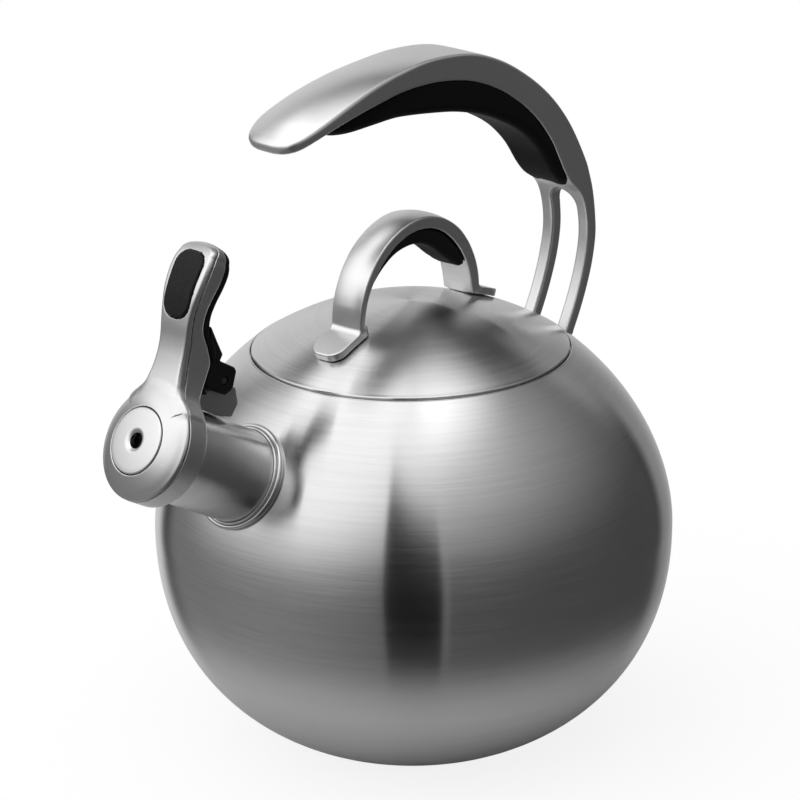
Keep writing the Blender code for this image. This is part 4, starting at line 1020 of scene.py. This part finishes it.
    # bracket on the spout ------------------------------------------------------
    h0 = TUBE_R + 0.3
    side = np.array(rounded([(112.4, h0 + 1.3), (117.5, h0 + 0.1), (129.3, h0 + 0.1), (129.3, 22.4),
                             (127.2, 22.7), (126.6, PIN_H - 1.2), (125.2, PIN_H + 2.2),
                             (123.4, PIN_H + 3.0), (121.4, PIN_H + 2.2), (120.2, PIN_H - 0.9),
                             (115.4, PIN_H - 0.9), (111.8, 23.5)],
                            [1.0, 0.8, 0.1, 0.7, 0.4, 1, 1, 1, 1, 0.5, 0.8, 1.6], 5))
    Q = Field((108, 12), (134, 38), 0.15, lambda P: poly_distance(P, side))

    def bracket(P):
        s, y, h = P[:, 0], np.abs(P[:, 1]), P[:, 2]
        f = smax(Q(s, h), y - 4.6, 0.45)
        slot = np.maximum(np.maximum(y - 3.0, np.abs(s - PIN_S) - 5.3), PIN_H - 5.9 - h)
        f = smax(f, -slot, 0.3)
        f = smax(f, TUBE_R + 0.16 - np.hypot(P[:, 1], h), 0.1)
        bore = np.hypot(s - PIN_S, h - PIN_H) - (PIN_R + 0.12)
        return smax(f, -bore, 0.12)

    br_obj = isosurface("hinge_saddle", bracket, (111.5, -4.9, 16.0), (129.8, 4.9, 32.6), 0.28, matrix=m)
    return shell_obj, rear_obj, cover_obj, pad_obj, br_obj


def pad_plan(grow):
    lo, hi, w = PAD[0] - grow, PAD[1] + grow, PAD[2] + grow
    pts = [(lo, w * 0.90), (hi, w), (hi, -w), (lo, -w * 0.90)]
    return np.array(rounded(pts, [5.4, 5.4, 5.4, 5.4], 14))


# ---------------------------------------------------------------- materials
class Graph:
    """Short names for the shader nodes used below."""

    def __init__(self, tree):
        self.tree = tree
        self.tree.nodes.clear()

    def add(self, kind, **props):
        node = self.tree.nodes.new(kind)
        for k, v in props.items():
            setattr(node, k, v)
        return node

    def put(self, socket, value):
        if isinstance(value, bpy.types.NodeSocket):
            self.tree.links.new(value, socket)
        elif value is not None:
            socket.default_value = value

    def math(self, op, a, b=None, c=None, clamp=False):
        n = self.add("ShaderNodeMath", operation=op, use_clamp=clamp)
        for i, v in enumerate((a, b, c)):
            self.put(n.inputs[i], v)
        return n.outputs[0]

    def remap(self, x, a, b, c=0.0, d=1.0, smooth=True):
        n = self.add("ShaderNodeMapRange", clamp=True,
                     interpolation_type="SMOOTHSTEP" if smooth else "LINEAR")
        for i, v in enumerate((x, a, b, c, d)):
            self.put(n.inputs[i], v)
        return n.outputs[0]

    def xyz(self, v):
        n = self.add("ShaderNodeSeparateXYZ")
        self.put(n.inputs[0], v)
        return n.outputs

    def vec(self, x, y, z):
        n = self.add("ShaderNodeCombineXYZ")
        for i, v in enumerate((x, y, z)):
            self.put(n.inputs[i], v)
        return n.outputs[0]

    def noise(self, v, scale, detail=2.0, rough=0.5):
        n = self.add("ShaderNodeTexNoise")
        self.put(n.inputs["Vector"], v)
        self.put(n.inputs["Scale"], scale)
        self.put(n.inputs["Detail"], detail)
        self.put(n.inputs["Roughness"], rough)
        return n.outputs["Fac"]

    def mix(self, f, a, b):
        n = self.add("ShaderNodeMix", data_type="RGBA")
        self.put(n.inputs[0], f)
        self.put(n.inputs[6], a)
        self.put(n.inputs[7], b)
        return n.outputs[2]

    def bump(self, height, strength, distance, normal=None):
        n = self.add("ShaderNodeBump")
        self.put(n.inputs["Height"], height)
        self.put(n.inputs["Strength"], strength)
        self.put(n.inputs["Distance"], distance)
        if normal is not None:
            self.put(n.inputs["Normal"], normal)
        return n.outputs["Normal"]


def grey(v, tint=(1.0, 1.0, 1.0)):
    return (v * tint[0], v * tint[1], v * tint[2], 1.0)


def new_material(name, shown):
    mat = bpy.data.materials.new(name)
    mat.use_nodes = True
    mat.diffuse_color = shown
    g = Graph(mat.node_tree)
    out = g.add("ShaderNodeOutputMaterial")
    bsdf = g.add("ShaderNodeBsdfPrincipled")
    g.put(out.inputs["Surface"], bsdf.outputs[0])
    return mat, g, bsdf


def brushed(name, around, base, rough, aniso, lines=1.0, cloud=1.0, radial=False):
    """Brushed steel: lines run round the axis, the gloss spreads across them."""
    mat, g, b = new_material(name, grey(base))
    p = g.add("ShaderNodeTexCoord").outputs["Object"]
    x, y, z = g.xyz(p)
    if radial:
        along = g.math("SQRT", g.math("ADD", g.math("MULTIPLY", x, x), g.math("MULTIPLY", y, y)))
        c = [x, y]
    elif around == "Z":
        along, c = z, [x, y]
    else:
        along, c = x, [y, z]

    def lines_of(freq, slow, detail):
        return g.noise(g.vec(g.math("MULTIPLY", c[0], slow), g.math("MULTIPLY", c[1], slow),
                             g.math("MULTIPLY", along, freq)), 1.0, detail, 0.65)

    fine = lines_of(2600.0, 34.0, 3.0)
    mid = lines_of(720.0, 17.0, 3.0)
    wide = lines_of(150.0, 6.0, 2.0)
    blotch = g.noise(p, 26.0, 3.0, 0.55)
    k = g.math("ADD", g.math("MULTIPLY", g.math("SUBTRACT", fine, 0.5), 0.34 * lines),
               g.math("MULTIPLY", g.math("SUBTRACT", mid, 0.5), 0.30 * lines))
    k = g.math("ADD", k, g.math("MULTIPLY", g.math("SUBTRACT", wide, 0.5), 0.12 * lines))
    k = g.math("ADD", k, g.math("MULTIPLY", g.math("SUBTRACT", blotch, 0.5), 0.10 * cloud))
    f = g.math("ADD", k, 0.5, clamp=True)
    g.put(b.inputs["Base Color"], g.mix(f, grey(base * 0.80, (1.0, 1.0, 1.01)), grey(min(1.0, base * 1.20), (1.0, 1.0, 0.995))))
    g.put(b.inputs["Roughness"], g.math("ADD", rough, g.math(
        "ADD", g.math("MULTIPLY", g.math("SUBTRACT", fine, 0.5), 0.10),
        g.math("MULTIPLY", g.math("SUBTRACT", blotch, 0.5), 0.05))))
    b.inputs["Metallic"].default_value = 1.0
    b.inputs["Anisotropic"].default_value = aniso
    b.inputs["Anisotropic Rotation"].default_value = 0.25
    tan = g.add("ShaderNodeTangent", direction_type="RADIAL", axis=around)
    g.put(b.inputs["Tangent"], tan.outputs[0])
    n = g.bump(g.math("ADD", g.math("MULTIPLY", fine, 0.5), mid), 0.12 * lines, 0.00004)
    g.put(b.inputs["Normal"], n)
    return mat


def satin(name, base, rough=0.36, grain=1.0, wear=1.0):
    """Bead-blasted casting: fine grain, faint clouds and rims rubbed bright."""
    mat, g, b = new_material(name, grey(base))
    p = g.add("ShaderNodeTexCoord").outputs["Object"]
    fine = g.noise(p, 5200.0, 2.0, 0.6)
    mid = g.noise(p, 900.0, 3.0, 0.6)
    cloud = g.noise(p, 60.0, 3.0, 0.55)
    edge = g.remap(g.add("ShaderNodeNewGeometry").outputs["Pointiness"], 0.50, 0.60, 0.0, 1.0)
    k = g.math("ADD", g.math("MULTIPLY", g.math("SUBTRACT", mid, 0.5), 0.22 * grain),
               g.math("MULTIPLY", g.math("SUBTRACT", cloud, 0.5), 0.16))
    k = g.math("ADD", k, g.math("MULTIPLY", edge, 0.22 * wear))
    f = g.math("ADD", k, 0.42, clamp=True)
    g.put(b.inputs["Base Color"], g.mix(f, grey(base * 0.82), grey(min(1.0, base * 1.22))))
    r = g.math("ADD", rough, g.math("MULTIPLY", g.math("SUBTRACT", mid, 0.5), 0.10))
    r = g.math("SUBTRACT", r, g.math("MULTIPLY", edge, 0.05 * wear))
    g.put(b.inputs["Roughness"], r)
    b.inputs["Metallic"].default_value = 1.0
    h = g.math("ADD", g.math("MULTIPLY", fine, 0.7), g.math("MULTIPLY", mid, 0.6))
    g.put(b.inputs["Normal"], g.bump(h, 0.16 * grain, 0.00005))
    return mat


def rubber(name, base, rough, grain, spec=0.5, mottle=0.0):
    """Black moulded rubber or nylon with a fine matte grain."""
    mat, g, b = new_material(name, grey(base))
    p = g.add("ShaderNodeTexCoord").outputs["Object"]
    fine = g.noise(p, 3600.0, 3.0, 0.65)
    mid = g.noise(p, 700.0, 4.0, 0.6)
    cloud = g.noise(p, 90.0, 3.0, 0.5)
    edge = g.remap(g.add("ShaderNodeNewGeometry").outputs["Pointiness"], 0.51, 0.62, 0.0, 1.0)
    k = g.math("ADD", g.math("MULTIPLY", g.math("SUBTRACT", mid, 0.5), 0.7 + mottle),
               g.math("MULTIPLY", g.math("SUBTRACT", cloud, 0.5), 0.5))
    f = g.math("ADD", g.math("ADD", k, 0.45), g.math("MULTIPLY", edge, 0.3), clamp=True)
    g.put(b.inputs["Base Color"], g.mix(f, grey(base * 0.65), grey(base * 1.6)))
    g.put(b.inputs["Roughness"], g.math("ADD", rough, g.math("MULTIPLY", g.math("SUBTRACT", mid, 0.5), 0.18)))
    b.inputs["Specular IOR Level"].default_value = spec
    h = g.math("ADD", g.math("MULTIPLY", fine, 0.6), mid)
    g.put(b.inputs["Normal"], g.bump(h, 0.35 * grain, 0.00008))
    return mat


MATS = {
    "body": brushed("brushed_body", "Z", 0.60, 0.185, 1.0, lines=1.25),
    "lid": brushed("brushed_lid", "Z", 0.64, 0.21, 1.0, lines=1.5, radial=True),
    "pan": brushed("spun_underside", "Z", 0.50, 0.36, 0.6, radial=True),
    "base": brushed("spun_base", "Z", 0.42, 0.38, 0.5, radial=True),
    "tube": brushed("brushed_spout", "X", 0.64, 0.20, 0.9, lines=0.35, cloud=0.6),
    "ring": satin("collar_steel", 0.62, 0.22, 0.6),
    "cap": satin("satin_cap", 0.66, 0.34),
    "rear": satin("satin_cap_rear", 0.60, 0.38),
    "bracket": satin("satin_bracket", 0.34, 0.46),
    "disc": satin("satin_disc", 0.68, 0.32),
    "handle": satin("satin_handle", 0.74, 0.36),
    "lidh": satin("satin_lid_handle", 0.74, 0.34),
    "pin": satin("turned_steel", 0.58, 0.26, 0.5),
    # painted shade: the steel hinge pin is coloured near black so that it reads as the dark pin hole
    "hole": satin("pin_painted_as_hole_shade", 0.10, 0.45, 0.5),
    "rubber": rubber("black_rubber", 0.007, 0.62, 0.9, 0.16),
    "pad": rubber("pad_rubber", 0.010, 0.55, 2.2, 0.22, mottle=2.5),
    "black": rubber("black_nylon", 0.005, 0.42, 0.6, 0.22),
    "silicone": rubber("grey_silicone", 0.28, 0.50, 0.5, 0.45),
}


def fit(obj, mat, body, slot, *nodes):
    obj.data.materials.clear()
    obj.data.materials.append(MATS[mat])
    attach(obj, body)
    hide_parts(*nodes)
    return obj


fit(build_body(), "body", "kettle", "brushed_body", "body_shell")
fit(build_base(), "base", "kettle", "base_steel", "base_disc")
fit(own_axes(build_tube(), spout_matrix()), "tube", "kettle", "spout_steel", "spout_tube")
fit(build_collar(), "ring", "kettle", "spout_steel", "spout_collar")
# the hinge pin takes the near-black painted shade of the pin hole
fit(build_pin(), "hole", "kettle", "screw_steel", "hinge_pin")
fit(build_spring(), "pin", "whistle_cap", "screw_steel", "torsion_spring")
fit(build_handle(), "handle", "kettle", "satin_metal", "handle_frame")
fit(build_grip(), "rubber", "kettle", "black_rubber", "handle_grip")

shell, rear, cover, pad, bracket = build_cap()
fit(shell, "cap", "whistle_cap", "satin_metal", "cap_shell")
fit(rear, "rear", "whistle_cap", "satin_metal", "cap_back")
fit(cover, "black", "whistle_cap", "black_moulding", "lever_cover")
fit(pad, "pad", "whistle_cap", "black_rubber", "lever_pad")
fit(bracket, "bracket", "kettle", "satin_metal", "spout_bracket")
disc, cup, seal = build_whistle()
fit(disc, "disc", "whistle_cap", "satin_metal", "whistle_disc")
fit(cup, "pin", "whistle_cap", "base_steel", "whistle_chamber")
fit(seal, "silicone", "whistle_cap", "grey_silicone", "cap_seal")

dome, pan, gasket = build_lid()
fit(dome, "lid", "lid", "brushed_lid", "lid_dome")
fit(pan, "pan", "lid", "base_steel", "lid_skirt")
fit(gasket, "silicone", "lid", "grey_silicone", "lid_seal")
lid_handle, insert = build_lid_handle()
fit(lid_handle, "lidh", "lid", "satin_metal", "lid_handle")
fit(insert, "rubber", "lid", "black_rubber", "lid_handle_grip")

for node, mat in (("lid_screw_front", "pin"), ("lid_screw_rear", "pin"),
                  ("handle_screw_near", "pin"), ("handle_screw_far", "pin"),
                  ("handle_washer_near", "silicone"), ("handle_washer_far", "silicone")):
    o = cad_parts[node]
    o.data.materials.clear()
    o.data.materials.append(MATS[mat])


# ---------------------------------------------------------------- camera
AZ, EL, ROLL = math.radians(-43.2), math.radians(21.713), math.radians(-0.995)
FOCAL_PX, DIST = 3196.769, 1176.47


def make_camera():
    back = np.array([math.sin(AZ) * math.cos(EL), -math.cos(AZ) * math.cos(EL), math.sin(EL)])
    C = np.array([0, 0, 85.0]) + DIST * back
    fwd = -back
    right = np.array([math.cos(AZ), math.sin(AZ), 0.0])
    up = np.cross(right, fwd)
    yaw = math.atan((411.502 - 400) / FOCAL_PX)
    pit = math.atan((507.258 - 400) / FOCAL_PX * math.cos(yaw))
    f2, r2 = math.cos(yaw) * fwd - math.sin(yaw) * right, math.sin(yaw) * fwd + math.cos(yaw) * right
    f3, u3 = math.cos(pit) * f2 + math.sin(pit) * up, math.cos(pit) * up - math.sin(pit) * f2
    r4, u4 = math.cos(ROLL) * r2 + math.sin(ROLL) * u3, math.cos(ROLL) * u3 - math.sin(ROLL) * r2
    cam = bpy.data.cameras.new("camera")
    cam.sensor_width = 36.0
    cam.lens = FOCAL_PX / 800 * 36.0
    cam.clip_start, cam.clip_end = 0.05, 50.0
    obj = bpy.data.objects.new("camera", cam)
    bpy.context.scene.collection.objects.link(obj)
    m = Matrix.Identity(4)
    for i in range(3):
        m[i][0], m[i][1], m[i][2], m[i][3] = r4[i], u4[i], -f3[i], C[i] * MM
    obj.matrix_world = m
    bpy.context.scene.camera = obj


make_camera()


# ---------------------------------------------------------------- studio
def make_world():
    """White sweep for the camera; a large soft box up to the left, a dimmer
    right side, a white wall behind and a dark gap for the rays off the metal."""
    world = bpy.data.worlds.new("studio")
    world.use_nodes = True
    bpy.context.scene.world = world
    g = Graph(world.node_tree)
    out = g.add("ShaderNodeOutputWorld")
    d = g.add("ShaderNodeTexCoord").outputs["Generated"]
    x, y, z = g.xyz(d)
    bx, by = math.sin(AZ), -math.cos(AZ)
    rx, ry = math.cos(AZ), math.sin(AZ)
    f = g.math("ADD", g.math("MULTIPLY", x, bx), g.math("MULTIPLY", y, by))
    r = g.math("ADD", g.math("MULTIPLY", x, rx), g.math("MULTIPLY", y, ry))
    phi = g.math("MULTIPLY", g.math("ARCTAN2", r, f), 180 / math.pi)
    elev = g.math("MULTIPLY", g.math("ARCSINE", z), 180 / math.pi)
    aphi = g.math("ABSOLUTE", phi)

    def mul(*a):
        v = a[0]
        for b in a[1:]:
            v = g.math("MULTIPLY", v, b)
        return v

    def add(*a):
        v = a[0]
        for b in a[1:]:
            v = g.math("ADD", v, b)
        return v

    def less(a, b):
        return g.math("SUBTRACT", a, b)

    def inv(a):
        return g.math("SUBTRACT", 1.0, a)

    zenith = g.remap(elev, 53.0, 78.0, 0.0, 1.0)
    # room: dim on the right, lighter on the left
    room = add(0.085, g.remap(phi, 20.0, -70.0, 0.0, 0.20))
    # soft box from the left round to the front; its near edge leans
    lean = less(phi, mul(less(elev, 30.0), 0.95))
    left = mul(g.remap(lean, -52.0, 16.0, 1.0, 0.0), g.remap(phi, -140.0, -96.0, 0.0, 1.0))
    left = mul(left, g.remap(elev, -8.0, 26.0, 0.0, 1.0), 1.60)
    # fill on the right, stronger the higher it is
    rise = g.remap(elev, 5.0, 74.0, 0.03, 1.50, smooth=False)
    right = mul(rise, g.remap(lean, -52.0, 16.0, 0.0, 1.0), g.remap(phi, 15.0, 130.0, 1.0, 0.30, smooth=False),
                g.remap(phi, 150.0, 130.0, 0.0, 1.0))
    # overhead box, wider toward the back on the left
    top = mul(zenith, 1.45)
    hall = mul(g.remap(elev, 44.0, 56.0, 0.0, 1.0), g.remap(phi, -168.0, -156.0, 0.0, 1.0),
               g.remap(phi, -100.0, -128.0, 0.0, 1.0), 1.55)
    # wall behind, dimmer on the right, dark above
    wide = add(aphi, g.remap(elev, 4.0, 24.0, 0.0, 10.0), g.remap(phi, -1.0, 0.0, 0.0, 8.0))
    wall = mul(g.remap(wide, 141.0, 152.0, 0.0, 1.0), g.remap(elev, 46.0, 31.0, 0.0, 1.0),
               g.remap(elev, -62.0, -30.0, 0.25, 1.0),
               add(g.remap(phi, 0.0, -1.0, 0.0, 0.88), mul(g.remap(phi, 146.0, 180.0, 0.36, 0.80),
                                                         g.remap(phi, -1.0, 0.0, 0.0, 1.0))))
    shade = inv(mul(g.remap(aphi, 128.0, 140.0, 0.0, 1.0), inv(zenith), 0.75))
    ground = mul(g.remap(phi, -50.0, -140.0, 0.0, 0.16), g.remap(elev, -22.0, -48.0, 0.0, 1.0))
    line = mul(g.remap(phi, 11.8, 12.8, 0.0, 1.0), g.remap(phi, 16.0, 13.4, 0.0, 1.0),
               g.remap(elev, -50.0, -36.0, 0.0, 1.0), g.remap(elev, 24.0, 8.0, 0.0, 1.0), 0.10)
    total = add(mul(add(room, left, right), shade), mul(top, less(1.0, g.math("MINIMUM", mul(left, 0.5), 0.8))),
                mul(hall, inv(mul(zenith, 0.8))), wall, ground, line)
    # dark gap where the camera stands
    edge = less(elev, mul(phi, -1.0))
    gap = mul(g.remap(g.math("ABSOLUTE", add(phi, 1.0)), 11.7, 13.0, 1.0, 0.0), g.remap(edge, 28.0, 50.0, 1.0, 0.0),
              g.remap(elev, -53.0, -37.0, 0.0, 1.0))
    total = mul(total, g.math("SUBTRACT", 1.0, mul(gap, 0.99)))
    bg = g.add("ShaderNodeBackground")
    g.put(bg.inputs["Strength"], total)
    white = g.add("ShaderNodeBackground")
    white.inputs["Color"].default_value = (1.0, 1.0, 1.0, 1.0)
    white.inputs["Strength"].default_value = 1.0
    mix = g.add("ShaderNodeMixShader")
    g.put(mix.inputs[0], g.add("ShaderNodeLightPath").outputs["Is Camera Ray"])
    g.put(mix.inputs[1], bg.outputs[0])
    g.put(mix.inputs[2], white.outputs[0])
    g.put(out.inputs["Surface"], mix.outputs[0])


def make_floor():
    """Pale floor that fades into the white sweep."""
    n, R = 96, 0.62
    verts = [(0.0, 0.0, 0.0)]
    radii = [0.05, 0.1, 0.16, 0.24, 0.36, 0.5, R]
    for rad in radii:
        verts += [(rad * math.cos(2 * math.pi * k / n), rad * math.sin(2 * math.pi * k / n), 0.0)
                  for k in range(n)]
    faces = [(0, 1 + k, 1 + (k + 1) % n) for k in range(n)]
    for i in range(len(radii) - 1):
        a, b = 1 + i * n, 1 + (i + 1) * n
        faces += [(a + k, b + k, b + (k + 1) % n, a + (k + 1) % n) for k in range(n)]
    me = bpy.data.meshes.new("floor")
    me.from_pydata(verts, [], faces)
    floor = bpy.data.objects.new("floor", me)
    floor.location.z = -0.0002
    bpy.context.scene.collection.objects.link(floor)
    mat = bpy.data.materials.new("floor")
    mat.use_nodes = True
    g = Graph(mat.node_tree)
    out = g.add("ShaderNodeOutputMaterial")
    p = g.add("ShaderNodeTexCoord").outputs["Object"]
    x, y, z = g.xyz(p)
    rad = g.math("SQRT", g.math("ADD", g.math("MULTIPLY", x, x), g.math("MULTIPLY", y, y)))
    diff = g.add("ShaderNodeBsdfDiffuse")
    diff.inputs["Color"].default_value = grey(0.72)
    faint = g.add("ShaderNodeBsdfDiffuse")
    faint.inputs["Color"].default_value = grey(0.16)
    glow = g.add("ShaderNodeEmission")
    glow.inputs["Strength"].default_value = 0.86
    both = g.add("ShaderNodeAddShader")
    g.put(both.inputs[0], faint.outputs[0])
    g.put(both.inputs[1], glow.outputs[0])
    cam_ray = g.add("ShaderNodeLightPath").outputs["Is Camera Ray"]
    seen = g.add("ShaderNodeMixShader")
    g.put(seen.inputs[0], cam_ray)
    g.put(seen.inputs[1], diff.outputs[0])
    g.put(seen.inputs[2], both.outputs[0])
    clear = g.add("ShaderNodeBsdfTransparent")
    fade = g.math("ADD", g.math("MULTIPLY", g.remap(rad, 0.22, 0.55, 1.0, 0.0), cam_ray),
                  g.math("MULTIPLY", g.remap(rad, 0.08, 0.17, 1.0, 0.0),
                         g.math("SUBTRACT", 1.0, cam_ray)))
    mix = g.add("ShaderNodeMixShader")
    g.put(mix.inputs[0], fade)
    g.put(mix.inputs[1], clear.outputs[0])
    g.put(mix.inputs[2], seen.outputs[0])
    g.put(out.inputs["Surface"], mix.outputs[0])
    me.materials.append(mat)


make_world()
make_floor()
scene = bpy.context.scene
scene.view_settings.view_transform = "Standard"
scene.view_settings.look = "None"
